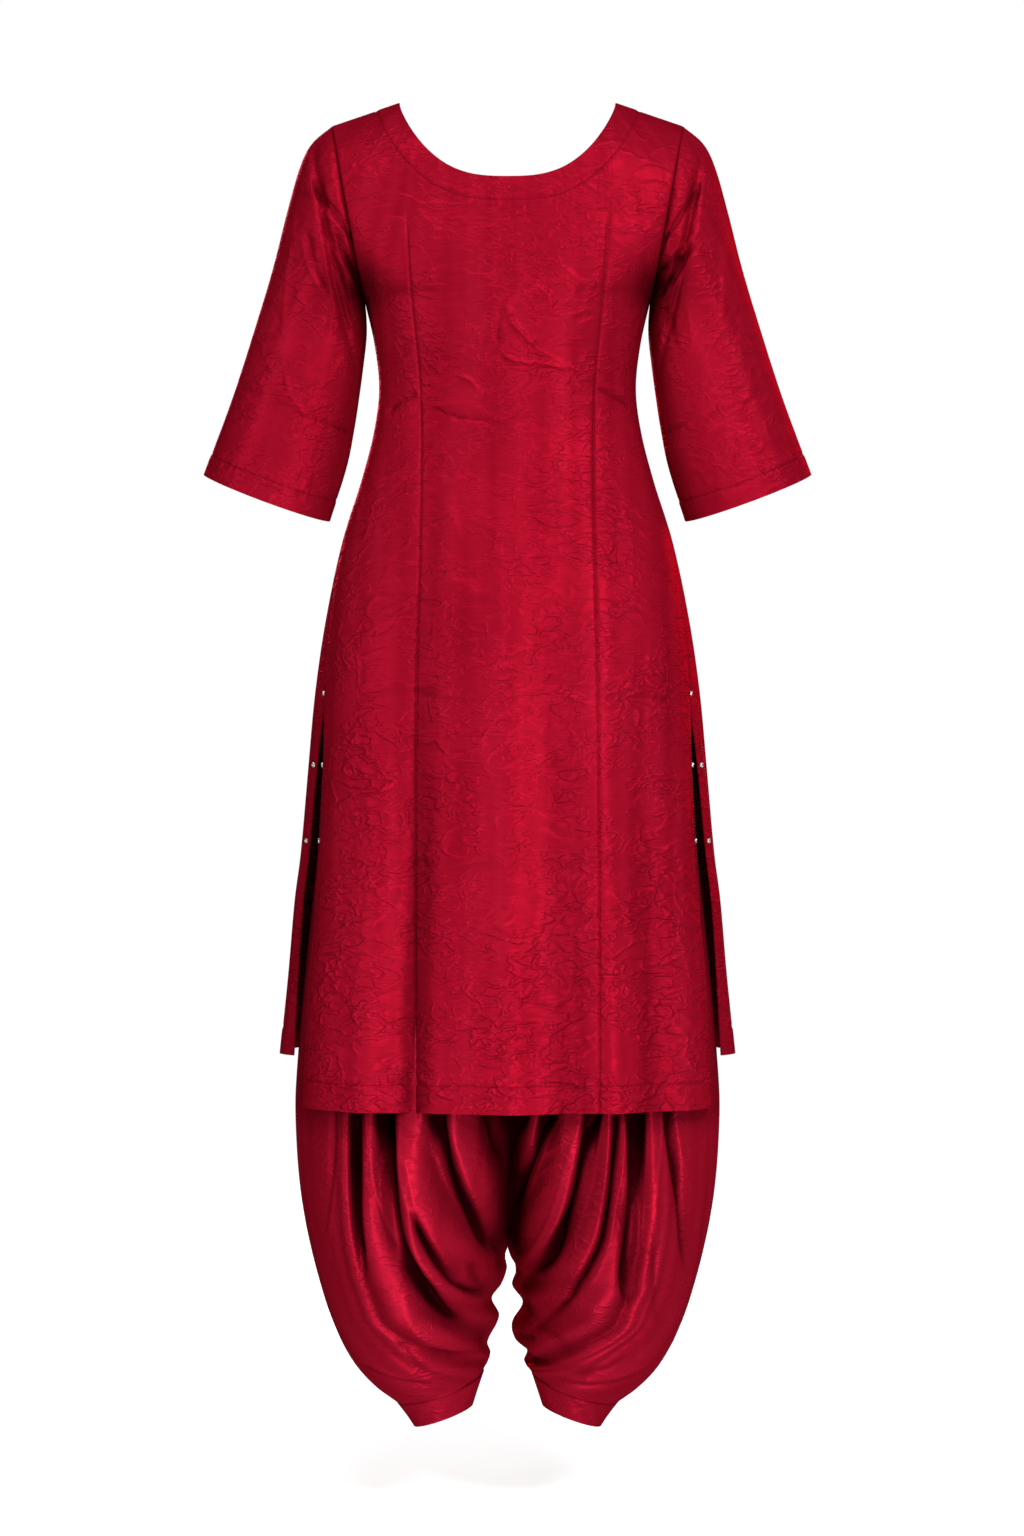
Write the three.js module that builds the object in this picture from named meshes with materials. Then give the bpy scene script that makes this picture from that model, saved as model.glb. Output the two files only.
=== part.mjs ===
// A salwar suit, worn shape, with nobody in it: a silk kameez (tunic) with flared three-quarter sleeves,
// a scooped neck and two side slits, over a salwar (trousers) pleated from a yoke into narrow ankle cuffs.
// Millimetres. +X is the wearer's right, +Y the wearer's front, +Z up. The origin is between the shoulders,
// on the line of the two shoulder seams, where the wearer holds the suit up.
import * as THREE from "three";

// ---------------------------------------------------------------- driving dimensions
const CLOTH = 1.5; // wall of each panel
const GAP = 0.45; // between two pieces at a seam
const NECK = { x: 111, z: 9 }; // where neckline and shoulder seam meet
const SHOULDER = { x: 179, z: -14 }; // tip of the shoulder seam, top of the armhole
const UNDERARM = { x: 146, z: -195 }; // foot of the armhole, top of the side seam
const ARMHOLE_DEPTH = { back: 70, front: 60 }; // how far the armhole reaches behind and in front
const ROLL = 0.65; // how sharply the shoulder rolls over from the seam
const BACK_SCOOP = 90.5; // drop of the back neckline below the neck point
const FRONT_SCOOP = 124; // drop of the front neckline
const SLIT_TOP = -595; // where the side seams end and the slits begin
const BACK_HEM = -1009;
const FRONT_HEM = -964;
const FACING_WIDTH = 24; // band turned in round the neck
const FACING_CLEAR = 3; // between it and the panel it faces
const SEAM_TURNED_IN = 4; // it stops this far below the shoulder seam
const CROTCH = -1164; // lowest point of the seat seam, where the two legs part
const STUD = { radius: 2.7, thickness: 1.9, clear: 0.7 }; // small metal studs along the slits

const COLOURS = { silk: 0xa80f2c, metal: 0xd9d6d0 };
const silk = new THREE.MeshStandardMaterial({ color: COLOURS.silk, roughness: 0.42, metalness: 0 });
const metal = new THREE.MeshStandardMaterial({ color: COLOURS.metal, roughness: 0.3, metalness: 0.9 });

// ---------------------------------------------------------------- section tables
// Kameez body below the underarm: half width at its widest, depth of the back and the front, and the edge of each
// panel: its distance from the centre and how far behind the shoulder line it lies. Down to the slits both panels
// share the back's edge, the side seam; below them the front panel wraps round outside the back one.
const BODY = [
  { z: -195, half: 146, back: 103, front: 120, backX: 146, backY: 0, frontX: 146, frontY: 0 },
  { z: -240, half: 136, back: 100, front: 131, backX: 136, backY: 0, frontX: 136, frontY: 0 },
  { z: -285, half: 131.5, back: 89, front: 119, backX: 131.5, backY: 0, frontX: 131.5, frontY: 0 },
  { z: -330, half: 137, back: 87, front: 107, backX: 137, backY: 2, frontX: 137, frontY: 2 },
  { z: -380, half: 150, back: 97, front: 103, backX: 149.5, backY: 8, frontX: 149.5, frontY: 8 },
  { z: -440, half: 169, back: 117, front: 106, backX: 167, backY: 20, frontX: 167, frontY: 20 },
  { z: -520, half: 186, back: 140, front: 112, backX: 179.5, backY: 38, frontX: 179.5, frontY: 38 },
  { z: -595, half: 197, back: 149, front: 118, backX: 183.5, backY: 53, frontX: 183.5, frontY: 53 },
  { z: -670, half: 204, back: 151, front: 124, backX: 184.5, backY: 62, frontX: 193, frontY: 37 },
  { z: -760, half: 212, back: 153, front: 132, backX: 188, backY: 70, frontX: 202, frontY: 31 },
  { z: -806, half: 218, back: 154, front: 137, backX: 191, backY: 74, frontX: 207.5, frontY: 30 },
  { z: -886, half: 225, back: 156, front: 145, backX: 198.5, backY: 78, frontX: 213, frontY: 29 },
  { z: -964, half: 233, back: 160, front: 153, backX: 202, backY: 80, frontX: 217, frontY: 29 },
  { z: -1009, half: 237, back: 163, front: 157, backX: 204.5, backY: 82, frontX: 220, frontY: 29 },
];

// Depth of the upper back and chest at the middle of the panel, above the underarm.
const CHEST = [
  { z: -195, back: 103, front: 122, arch: 0.8 },
  { z: -150, back: 98, front: 100, arch: 1.0 },
  { z: -104, back: 89, front: 76, arch: 1.3 },
  { z: -60, back: 84, front: 66, arch: 1.5 },
  { z: 9, back: 80, front: 62, arch: 1.5 },
];

// The long dart of each panel: its distance from the centre, up to the neck point.
const DART = [
  { z: 9, x: 111 },
  { z: -95, x: 102.5 },
  { z: -195, x: 96.5 },
  { z: -290, x: 87.5 },
  { z: -460, x: 86.5 },
  { z: -600, x: 89 },
  { z: -1009, x: 90 },
];

// Soft flutes that the skirt falls into: x at the hem, depth in (negative is out), half width, and where each begins.
const BACK_FLUTES = [
  { x: -78, depth: 6, width: 13, from: -230 },
  { x: -128, depth: -5, width: 26, from: -420 },
  { x: -28, depth: -4, width: 22, from: -300 },
  { x: 4, depth: 4, width: 15, from: -330 },
  { x: 44, depth: -4, width: 24, from: -280 },
  { x: 99, depth: 6, width: 13, from: -230 },
  { x: 138, depth: -5, width: 24, from: -420 },
];
const FRONT_FLUTES = [
  { x: -150, depth: 7, width: 22, from: -400 },
  { x: -70, depth: 8, width: 24, from: -420 },
  { x: 8, depth: 6, width: 24, from: -400 },
  { x: 82, depth: 8, width: 24, from: -420 },
  { x: 154, depth: 7, width: 22, from: -400 },
];
const DART_GROOVE = { depth: 3.2, width: 6, top: -95 };

// Sleeve: each ring's outermost and innermost points, and how far it reaches behind and in front.
const SLEEVE = [
  { at: 0, outX: 179, outZ: -14, inX: 146, inZ: -195, back: 70, front: 60, forward: 0 },
  { at: 0.1, outX: 200, outZ: -32, inX: 144.5, inZ: -212, back: 68.5, front: 60.5, forward: 0 },
  { at: 0.2, outX: 212, outZ: -55, inX: 144.5, inZ: -230, back: 66.5, front: 60, forward: 1 },
  { at: 0.35, outX: 226, outZ: -103, inX: 147.5, inZ: -257, back: 62, front: 58, forward: 3 },
  { at: 0.5, outX: 241, outZ: -161, inX: 152, inZ: -290, back: 58, front: 55, forward: 5 },
  { at: 0.65, outX: 260, outZ: -223, inX: 157, inZ: -322, back: 55, front: 53, forward: 7 },
  { at: 0.8, outX: 282, outZ: -290, inX: 165, inZ: -362, back: 52, front: 51, forward: 9 },
  { at: 1, outX: 312, outZ: -370, inX: 183, inZ: -418, back: 50, front: 50, forward: 11 },
];
const SLEEVE_HEM_TILT = 8; // the sleeve's hem hangs this much lower behind and higher in front
// Drag folds of the sleeve's back, from the shoulder in towards the underarm: turn is degrees round the ring from its
// top, at is the place down the sleeve, both at the fold's two ends.
const SLEEVE_FOLDS = [
  { turn: [28, 128], at: [0.1, 0.26], depth: 7, width: 9 },
  { turn: [58, 150], at: [0.13, 0.42], depth: 6, width: 10 },
  { turn: [-35, -140], at: [0.12, 0.3], depth: 6, width: 10 },
];

// Salwar: each ring lies between an inner point at height z and an outer one, which hangs lower down the leg. split
// goes from 0, one sack round both legs, to 1 at the crotch, where each leg has closed on itself.
const LEG = [
  { z: -520, outZ: -520, outX: 160, split: 0, back: 118, front: 90 },
  { z: -620, outZ: -620, outX: 176, split: 0.1, back: 126, front: 94 },
  { z: -720, outZ: -720, outX: 190, split: 0.24, back: 130, front: 99 },
  { z: -820, outZ: -820, outX: 201, split: 0.4, back: 134, front: 105 },
  { z: -900, outZ: -900, outX: 209, split: 0.56, back: 138, front: 111 },
  { z: -960, outZ: -960, outX: 214, split: 0.68, back: 142, front: 117 },
  { z: -1010, outZ: -1010, outX: 217, split: 0.77, back: 146, front: 125 },
  { z: -1060, outZ: -1060, outX: 215.5, split: 0.86, back: 151, front: 133 },
  { z: -1100, outZ: -1100, outX: 212, split: 0.93, back: 153, front: 138 },
  { z: -1135, outZ: -1135, outX: 206.5, split: 0.975, back: 152, front: 140 },
  { z: -1164, outZ: -1165, outX: 200, split: 1, back: 148, front: 138 },
  { z: -1186, outZ: -1190, outX: 193.5, split: 1, back: 142, front: 134 },
  { z: -1210, outZ: -1217, outX: 185.5, split: 1, back: 132, front: 126 },
  { z: -1231, outZ: -1240, outX: 177, split: 1, back: 121, front: 117 },
  { z: -1250, outZ: -1262, outX: 167, split: 1, back: 109, front: 106 },
  { z: -1266, outZ: -1284, outX: 153, split: 1, back: 96, front: 94 },
  { z: -1279, outZ: -1303, outX: 135, split: 1, back: 82, front: 80 },
  { z: -1289, outZ: -1318, outX: 115, split: 1, back: 69, front: 67 },
];
// The inner side of each leg below the crotch, dented where a fold runs into the seam.
const INSEAM = {
  left: [
    { z: -1164, x: 0.3 }, { z: -1172, x: 2.5 }, { z: -1184, x: 0.6 }, { z: -1200, x: 6 }, { z: -1215, x: 16 },
    { z: -1233, x: 8.5 }, { z: -1260, x: 20.5 }, { z: -1271, x: 17.5 }, { z: -1289, x: 24 },
  ],
  right: [
    { z: -1164, x: 0.3 }, { z: -1172, x: 3 }, { z: -1185, x: 9.5 }, { z: -1201, x: 4.6 }, { z: -1219, x: 15.5 },
    { z: -1240, x: 4.5 }, { z: -1257, x: 8 }, { z: -1268, x: 20 }, { z: -1279, x: 17 }, { z: -1289, x: 24 },
  ],
};
// The cuff's rings; the first is the last of the leg. lift is how far the cloth rides up behind.
const CUFF = [
  { z: -1289, outZ: -1318, outX: 115, inX: 24, back: 69, front: 67, lift: 0 },
  { z: -1307, outZ: -1332, outX: 104.5, inX: 30, back: 61, front: 60, lift: 2 },
  { z: -1324, outZ: -1345.5, outX: 95.8, inX: 35.4, back: 54, front: 53, lift: 5 },
];
// The yoke: a plain belt round the waist and hips, under the kameez, that the legs hang from.
const YOKE = [
  { z: -330, half: 122, back: 74, front: 84 },
  { z: -420, half: 138, back: 94, front: 86 },
  { z: -520, half: 160, back: 118, front: 90 },
];

// Lines of the leg's cloth. Each hangs plumb from the yoke to FREE_FALL, where it stands turn degrees round from the
// outer side, then sweeps round to arrive at another angle (180 is the inseam) at the height where it ends. late is
// how suddenly it sweeps. Where it is a valley between two pleats, depth and width (degrees) say how deep and wide,
// and begins where it opens.
const FREE_FALL = -1000;
const LEFT_BACK = [
  { turn: 0, arrives: 0, ends: -1289, late: 6, depth: 0, width: 5, begins: -520 },
  { turn: 30, arrives: 66, ends: -1289, late: 7, depth: 0, width: 5, begins: -520 },
  { turn: 52, arrives: 135, ends: -1289, late: 8, depth: 5, width: 3.5, begins: -900 },
  { turn: 63.4, arrives: 180, ends: -1280, late: 9, depth: 13, width: 3.6, begins: -520 },
  { turn: 77.5, arrives: 180, ends: -1260, late: 4.8, depth: 21, width: 4.6, begins: -520 },
  { turn: 90, arrives: 180, ends: -1215, late: 4.6, depth: 13, width: 4, begins: -1070 },
  { turn: 102.4, arrives: 180, ends: -1168, late: 2.5, depth: 21, width: 5, begins: -520 },
  { turn: 128, arrives: 180, ends: -1072, late: 1.6, depth: 18, width: 5, begins: -520 },
];
const RIGHT_BACK = [
  { turn: 0, arrives: 0, ends: -1289, late: 6, depth: 0, width: 5, begins: -520 },
  { turn: 30, arrives: 66, ends: -1289, late: 7, depth: 0, width: 5, begins: -520 },
  { turn: 55, arrives: 140, ends: -1289, late: 8, depth: 5, width: 3.5, begins: -900 },
  { turn: 63, arrives: 180, ends: -1287, late: 10, depth: 4, width: 3, begins: -700 },
  { turn: 74, arrives: 180, ends: -1279, late: 9, depth: 21, width: 4.6, begins: -520 },
  { turn: 85, arrives: 180, ends: -1268, late: 4.2, depth: 12, width: 4, begins: -1000 },
  { turn: 95.5, arrives: 180, ends: -1219, late: 2.6, depth: 21, width: 4.8, begins: -520 },
  { turn: 107, arrives: 180, ends: -1186, late: 2.2, depth: 9, width: 3.6, begins: -1060 },
  { turn: 117, arrives: 180, ends: -1128, late: 1.7, depth: 20, width: 5, begins: -520 },
];
const EITHER_FRONT = [
  { turn: 0, arrives: 0, ends: -1289, late: 6, depth: 0, width: 5, begins: -520 },
  { turn: 30, arrives: 66, ends: -1289, late: 7, depth: 0, width: 5, begins: -520 },
  { turn: 52, arrives: 135, ends: -1289, late: 8, depth: 6, width: 3.8, begins: -900 },
  { turn: 65, arrives: 180, ends: -1280, late: 8, depth: 16, width: 4.2, begins: -520 },
  { turn: 80, arrives: 180, ends: -1262, late: 4.4, depth: 19, width: 4.6, begins: -520 },
  { turn: 96, arrives: 180, ends: -1217, late: 3, depth: 19, width: 4.8, begins: -520 },
  { turn: 112, arrives: 180, ends: -1160, late: 2.2, depth: 17, width: 4.8, begins: -520 },
  { turn: 128, arrives: 180, ends: -1080, late: 1.6, depth: 15, width: 4.6, begins: -520 },
];
const SEAT_SEAM_ENDS = -1040; // the seat seam's own line runs this far before the pleats meet it
const PLEAT_SET = 110; // a pleat is sewn flat at the yoke and has its full depth this far below
const BETWEEN_PLEATS = [0.28, 0.5, 0.74]; // columns of the grid between one line of the cloth and the next

// Studs of one side: the panel each is set on, its height, and how far it stands in from the panel's edge.
const STUDS = [
  { name: "slit_top", face: "back", z: -597, inset: 3 },
  { name: "back_upper", face: "back", z: -669, inset: 4.5 },
  { name: "back_lower", face: "back", z: -745, inset: 4.5 },
  { name: "front_upper", face: "front", z: -669, inset: 5 },
  { name: "front_lower", face: "front", z: -746, inset: 5 },
];

// Heights of the panels' rows, at the panel's edge, and how many columns each piece has.
const ROWS_BELOW_SLIT_BACK = [BACK_HEM, -960, -885, -810, -735, -662];
const ROWS_BELOW_SLIT_FRONT = [FRONT_HEM, -885, -810, -735, -662];
const ROWS_BODY = [SLIT_TOP, -530, -470, -415, -370, -328, -288, -258, -226, UNDERARM.z];
const ROWS_ARMHOLE = [-168, -140, -112, -84, -60, -41, -28, -19, SHOULDER.z];
const ROWS_LEG = [YOKE.at(-1).z, -700, -850, -950, FREE_FALL];
const SHARES_LEG = [0.15, 0.3, 0.44, 0.57, 0.69, 0.79, 0.88, 0.95, 1]; // of the drop from FREE_FALL to a line's end
const COLUMNS = { centre: 12, side: 6, sleeve: 20, sleeveRows: 12, cuff: 24, facing: 22 };

// ---------------------------------------------------------------- small helpers
const radians = (degrees) => (degrees * Math.PI) / 180;
const clamp01 = (t) => Math.min(1, Math.max(0, t));
const smoothstep = (t) => clamp01(t) ** 2 * (3 - 2 * clamp01(t));
const bell = (t) => Math.exp(-t * t);

// Value of one column of a table at a place, on a smooth curve through the rows (cubic Hermite, mean slopes).
function along(table, key, column, place) {
  const rows = [...table].sort((a, b) => a[key] - b[key]);
  const last = rows.length - 1;
  if (place <= rows[0][key]) return rows[0][column];
  if (place >= rows[last][key]) return rows[last][column];
  let i = 0;
  while (place > rows[i + 1][key]) i++;
  const slope = (a, b) => (rows[b][column] - rows[a][column]) / (rows[b][key] - rows[a][key]);
  const step = rows[i + 1][key] - rows[i][key];
  const m0 = step * slope(Math.max(0, i - 1), i + 1);
  const m1 = step * slope(i, Math.min(last, i + 2));
  const t = (place - rows[i][key]) / step;
  const t2 = t * t;
  const t3 = t2 * t;
  return (
    (2 * t3 - 3 * t2 + 1) * rows[i][column] + (t3 - 2 * t2 + t) * m0 +
    (3 * t2 - 2 * t3) * rows[i + 1][column] + (t3 - t2) * m1
  );
}

// A closed wall on a grid of outer points. The inner face is the outer one moved in by the cloth's thickness.
// side is +1 where rows x columns turn outwards, -1 where they turn inwards; wrap closes the columns on themselves.
// seam may turn the normal of an edge point, so that the wall ends square to the piece it is sewn to.
function wall(points, side, { wrap = false, thickness = CLOTH, seam = (normal) => normal } = {}) {
  const rows = points.length;
  const cols = points[0].length;
  const normals = normalsOf(points, side, wrap).map((row, i) => row.map((n, j) => seam(n, i, j)));
  const positions = [];
  for (const inward of [0, thickness]) {
    points.forEach((row, i) =>
      row.forEach((p, j) => positions.push(...p.clone().addScaledVector(normals[i][j], -inward))),
    );
  }
  const index = [];
  const inner = rows * cols;
  const id = (i, j) => i * cols + (j % cols);
  const quad = (a, b, c, d) => (side > 0 ? index.push(a, b, c, a, c, d) : index.push(a, c, b, a, d, c));
  const lastCol = wrap ? cols : cols - 1;
  for (let i = 0; i < rows - 1; i++) {
    for (let j = 0; j < lastCol; j++) {
      quad(id(i, j), id(i, j + 1), id(i + 1, j + 1), id(i + 1, j));
      quad(inner + id(i, j), inner + id(i + 1, j), inner + id(i + 1, j + 1), inner + id(i, j + 1));
    }
  }
  for (let j = 0; j < lastCol; j++) {
    quad(id(0, j), inner + id(0, j), inner + id(0, j + 1), id(0, j + 1));
    quad(id(rows - 1, j + 1), inner + id(rows - 1, j + 1), inner + id(rows - 1, j), id(rows - 1, j));
  }
  if (!wrap) {
    for (let i = 0; i < rows - 1; i++) {
      quad(id(i + 1, 0), inner + id(i + 1, 0), inner + id(i, 0), id(i, 0));
      quad(id(i, cols - 1), inner + id(i, cols - 1), inner + id(i + 1, cols - 1), id(i + 1, cols - 1));
    }
  }
  const geometry = new THREE.BufferGeometry();
  geometry.setAttribute("position", new THREE.Float32BufferAttribute(positions, 3));
  geometry.setIndex(index);
  return geometry;
}

// Outward unit normals of a grid of points, from the differences between neighbours.
function normalsOf(points, side, wrap) {
  const rows = points.length;
  const cols = points[0].length;
  return points.map((row, i) =>
    row.map((_, j) => {
      const before = wrap ? (j + cols - 1) % cols : Math.max(0, j - 1);
      const after = wrap ? (j + 1) % cols : Math.min(cols - 1, j + 1);
      const across = row[after].clone().sub(row[before]);
      const down = points[Math.min(rows - 1, i + 1)][j].clone().sub(points[Math.max(0, i - 1)][j]);
      return across.cross(down).multiplyScalar(side).normalize();
    }),
  );
}

const suit = new THREE.Group();
function add(name, geometry, material) {
  geometry.computeVertexNormals();
  const mesh = new THREE.Mesh(geometry, material);
  mesh.name = name;
  suit.add(mesh);
  return mesh;
}

// ---------------------------------------------------------------- kameez body
const ARMHOLE = { middle: (SHOULDER.z + UNDERARM.z) / 2, half: (SHOULDER.z - UNDERARM.z) / 2 };

// Height of the shoulder seam's line at x, carried on across the neck.
const shoulderLine = (x) =>
  NECK.z + ((Math.abs(x) - NECK.x) * (SHOULDER.z - NECK.z)) / (SHOULDER.x - NECK.x);

// Height of the neckline at x: a rounded scoop.
const neckline = (x, scoop) => NECK.z - scoop * (1 - Math.min(1, Math.abs(x) / NECK.x) ** 2.8) ** 0.74;

// A panel's edge below the underarm: the side seam, then the slit's edge.
const edgeOf = (axis, z, face) => along(BODY, "z", (z < SLIT_TOP ? face : "back") + axis, z);

// Distance of a panel's edge from the centre: the armhole above the underarm, the side seam and slit below it.
function edgeX(z, face) {
  if (z < UNDERARM.z) return edgeOf("X", z, face);
  return UNDERARM.x + ((z - UNDERARM.z) * (SHOULDER.x - UNDERARM.x)) / (SHOULDER.z - UNDERARM.z);
}

// x of a column is widest * sin(angle). s runs from -1 to 1 across the panel; the dart lies at s = +-DART_COLUMN.
const DART_COLUMN = 0.46;
function columnAngle(s, z, face) {
  const wraps = face === "front" && z < UNDERARM.z;
  const widest = wraps ? along(BODY, "z", "half", z) : edgeX(z, face);
  const beyond = wraps ? Math.acos(Math.min(1, edgeX(z, face) / widest)) : 0;
  const dart = Math.asin(along(DART, "z", "x", z) / widest);
  const size = Math.abs(s);
  // between the darts columns are even on the skirt and bunch up towards the neck point, where the neckline is steep
  const share = Math.min(1, size / DART_COLUMN);
  const bunched = share + (Math.sin((share * Math.PI) / 2) - share) * smoothstep((z + 340) / 220);
  const inner = Math.asin((bunched * along(DART, "z", "x", z)) / widest);
  const outer = dart + ((Math.PI / 2 + beyond - dart) * (size - DART_COLUMN)) / (1 - DART_COLUMN);
  return { widest, beyond, angle: Math.sign(s) * (size <= DART_COLUMN ? inner : outer) };
}

// How far the cloth stands behind (back) or in front of (front) the shoulder seam, at x and z.
function depthAt(x, z, { angle, beyond }, face) {
  const c = Math.cos(angle);
  if (z < UNDERARM.z) {
    const middle = along(BODY, "z", face, z);
    if (c < 0 && beyond > 0) return (edgeOf("Y", z, face) * c) / Math.sin(beyond);
    const start = face === "back" ? edgeOf("Y", z, face) : 0;
    return start + (middle - start) * Math.max(0, c) ** 0.8;
  }
  const low = Math.min(0, (z - ARMHOLE.middle) / ARMHOLE.half);
  const edge = ARMHOLE_DEPTH[face] * Math.sqrt(1 - low * low);
  const middle = along(CHEST, "z", face, z);
  const below = clamp01((shoulderLine(x) - z) / ARMHOLE.half);
  return (edge + (middle - edge) * c ** along(CHEST, "z", "arch", z)) * (1 - (1 - below) ** 2) ** ROLL;
}

// Flutes, dart groove and bust: what is added to the depth.
function relief(x, z, face, edge) {
  const flutes = face === "back" ? BACK_FLUTES : FRONT_FLUTES;
  const hem = face === "back" ? BACK_HEM : FRONT_HEM;
  let out = 0;
  for (const f of flutes) {
    const grown = smoothstep((f.from - z) / (f.from - hem));
    const spread = (edge / edgeX(hem, face)) * f.x;
    out -= f.depth * grown * bell((x - spread) / f.width);
  }
  const aside = Math.abs(x) - along(DART, "z", "x", z);
  const opening = smoothstep((DART_GROOVE.top - z) / 60);
  out -= DART_GROOVE.depth * opening * bell(aside / DART_GROOVE.width);
  if (face === "front") out += 9 * bell((Math.abs(x) - 74) / 40) * bell((z + 232) / 62);
  return out;
}

// Keeps the flutes and grooves from moving a panel's edges, where another piece is sewn on.
const calmAtEdge = (s) => 1 - smoothstep((Math.abs(s) - 0.86) / 0.14);

// A point of a panel: s across it, zEdge the height of its row at the panel's edge.
function panelPoint(s, zEdge, face) {
  const scoop = face === "back" ? BACK_SCOOP : FRONT_SCOOP;
  const topAt = (x) => (Math.abs(x) < NECK.x ? neckline(x, scoop) : shoulderLine(x));
  let z = zEdge;
  if (zEdge > UNDERARM.z) {
    const rise = (zEdge - UNDERARM.z) / (SHOULDER.z - UNDERARM.z);
    let top = SHOULDER.z;
    for (let pass = 0; pass < 6; pass++) {
      const { widest, angle } = columnAngle(s, top, face);
      top = topAt(widest * Math.sin(angle));
    }
    z = UNDERARM.z + (top - UNDERARM.z) * rise;
  }
  const column = columnAngle(s, z, face);
  const x = column.widest * Math.sin(column.angle);
  const calm = calmAtEdge(s) * calmAtShoulder(zEdge);
  const depth = depthAt(x, z, column, face) + relief(x, z, face, edgeX(z, face)) * calm;
  return new THREE.Vector3(x, depth * (face === "back" ? -1 : 1), z);
}

// Relief dies out on the shoulder, so that back and front meet along one seam.
const calmAtShoulder = (zEdge) => smoothstep((SHOULDER.z - 8 - zEdge) / 60);

// Columns of a panel: even across the centre, up to the darts, and even again across each side.
function panelColumns() {
  const centre = Array.from({ length: COLUMNS.centre + 1 }, (_, i) => DART_COLUMN * ((2 * i) / COLUMNS.centre - 1));
  const side = Array.from(
    { length: COLUMNS.side },
    (_, i) => DART_COLUMN + ((1 - DART_COLUMN) * (i + 1)) / COLUMNS.side,
  );
  return [...side.map((s) => -s).reverse(), ...centre, ...side];
}

function panel(face) {
  const below = face === "back" ? ROWS_BELOW_SLIT_BACK : ROWS_BELOW_SLIT_FRONT;
  const heights = [...below, ...ROWS_BODY, ...ROWS_ARMHOLE];
  const towards = face === "back" ? -1 : 1;
  const grid = heights.map((zEdge) => panelColumns().map((s) => panelPoint(s, zEdge, face)));
  // side edges and the shoulder seam stand back from the other panel, and their walls end square to it
  const last = grid.length - 1;
  const sewn = (i, j) => j === 0 || j === grid[0].length - 1 || (i === last && Math.abs(grid[i][j].x) > NECK.x - 1);
  grid.forEach((row, i) => row.forEach((p, j) => (p.y += sewn(i, j) ? (towards * GAP) / 2 : 0)));
  const seam = (normal, i, j) => (sewn(i, j) ? normal.setY(0).normalize() : normal);
  return wall(grid, -towards, { seam });
}

add("kameez_back", panel("back"), silk);
add("kameez_front", panel("front"), silk);

// ---------------------------------------------------------------- sleeves
// A point of a sleeve: turn is the angle round the ring, 0 at its top, 90 at its back; at runs from cap to hem.
function sleevePoint(turn, at) {
  const row = (column) => along(SLEEVE, "at", column, at);
  const c = Math.cos(radians(turn));
  const s = Math.sin(radians(turn));
  const middle = new THREE.Vector3((row("outX") + row("inX")) / 2, row("forward"), (row("outZ") + row("inZ")) / 2);
  const arm = new THREE.Vector3((row("outX") - row("inX")) / 2, 0, (row("outZ") - row("inZ")) / 2);
  const capped = 1 - smoothstep(at / 0.3);
  const roll = c > 0 ? 1 + (2 * ROLL - 1) * capped : 1;
  const reach = s > 0 ? -row("back") : row("front");
  const lift = -SLEEVE_HEM_TILT * s * smoothstep((at - 0.5) / 0.5);
  const p = middle.addScaledVector(arm, c).add(new THREE.Vector3(0, reach * Math.abs(s) ** roll, lift));
  const centre = new THREE.Vector3((row("outX") + row("inX")) / 2, row("forward"), (row("outZ") + row("inZ")) / 2);
  const inward = centre.sub(p).normalize();
  return p.addScaledVector(inward, sleeveFold(turn, at));
}

// Depth of the sleeve's drag folds at a place, by its distance from each fold's line.
function sleeveFold(turn, at) {
  const length = 330; // of the sleeve, near enough
  const radius = 62;
  let depth = 0;
  for (const fold of SLEEVE_FOLDS) {
    const [t0, t1] = fold.turn.map((t) => radians(t) * radius);
    const [a0, a1] = fold.at.map((a) => a * length);
    const px = radians(turn > 180 ? turn - 360 : turn) * radius - t0;
    const py = at * length - a0;
    const length2 = (t1 - t0) ** 2 + (a1 - a0) ** 2;
    const share = (px * (t1 - t0) + py * (a1 - a0)) / length2;
    const near = clamp01(share);
    const off = Math.hypot(px - near * (t1 - t0), py - near * (a1 - a0));
    depth += fold.depth * bell(off / fold.width) * Math.sin(Math.PI * Math.min(1, 0.12 + near * 0.76));
  }
  return depth * smoothstep(at / 0.06);
}

function sleeve(side) {
  const rows = Array.from({ length: COLUMNS.sleeveRows + 1 }, (_, i) => (i / COLUMNS.sleeveRows) ** 1.25);
  const turns = Array.from({ length: COLUMNS.sleeve }, (_, j) => (360 * j) / COLUMNS.sleeve);
  const grid = rows.map((at) => turns.map((turn) => sleevePoint(turn, at)));
  const clear = 2 * GAP;
  grid[0].forEach((p) => p.add(new THREE.Vector3(clear, 0, -clear * 0.18)));
  grid.forEach((row) => row.forEach((p) => (p.x *= side)));
  return wall(grid, side, { wrap: true });
}

add("kameez_sleeve_left", sleeve(-1), silk);
add("kameez_sleeve_right", sleeve(1), silk);

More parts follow.
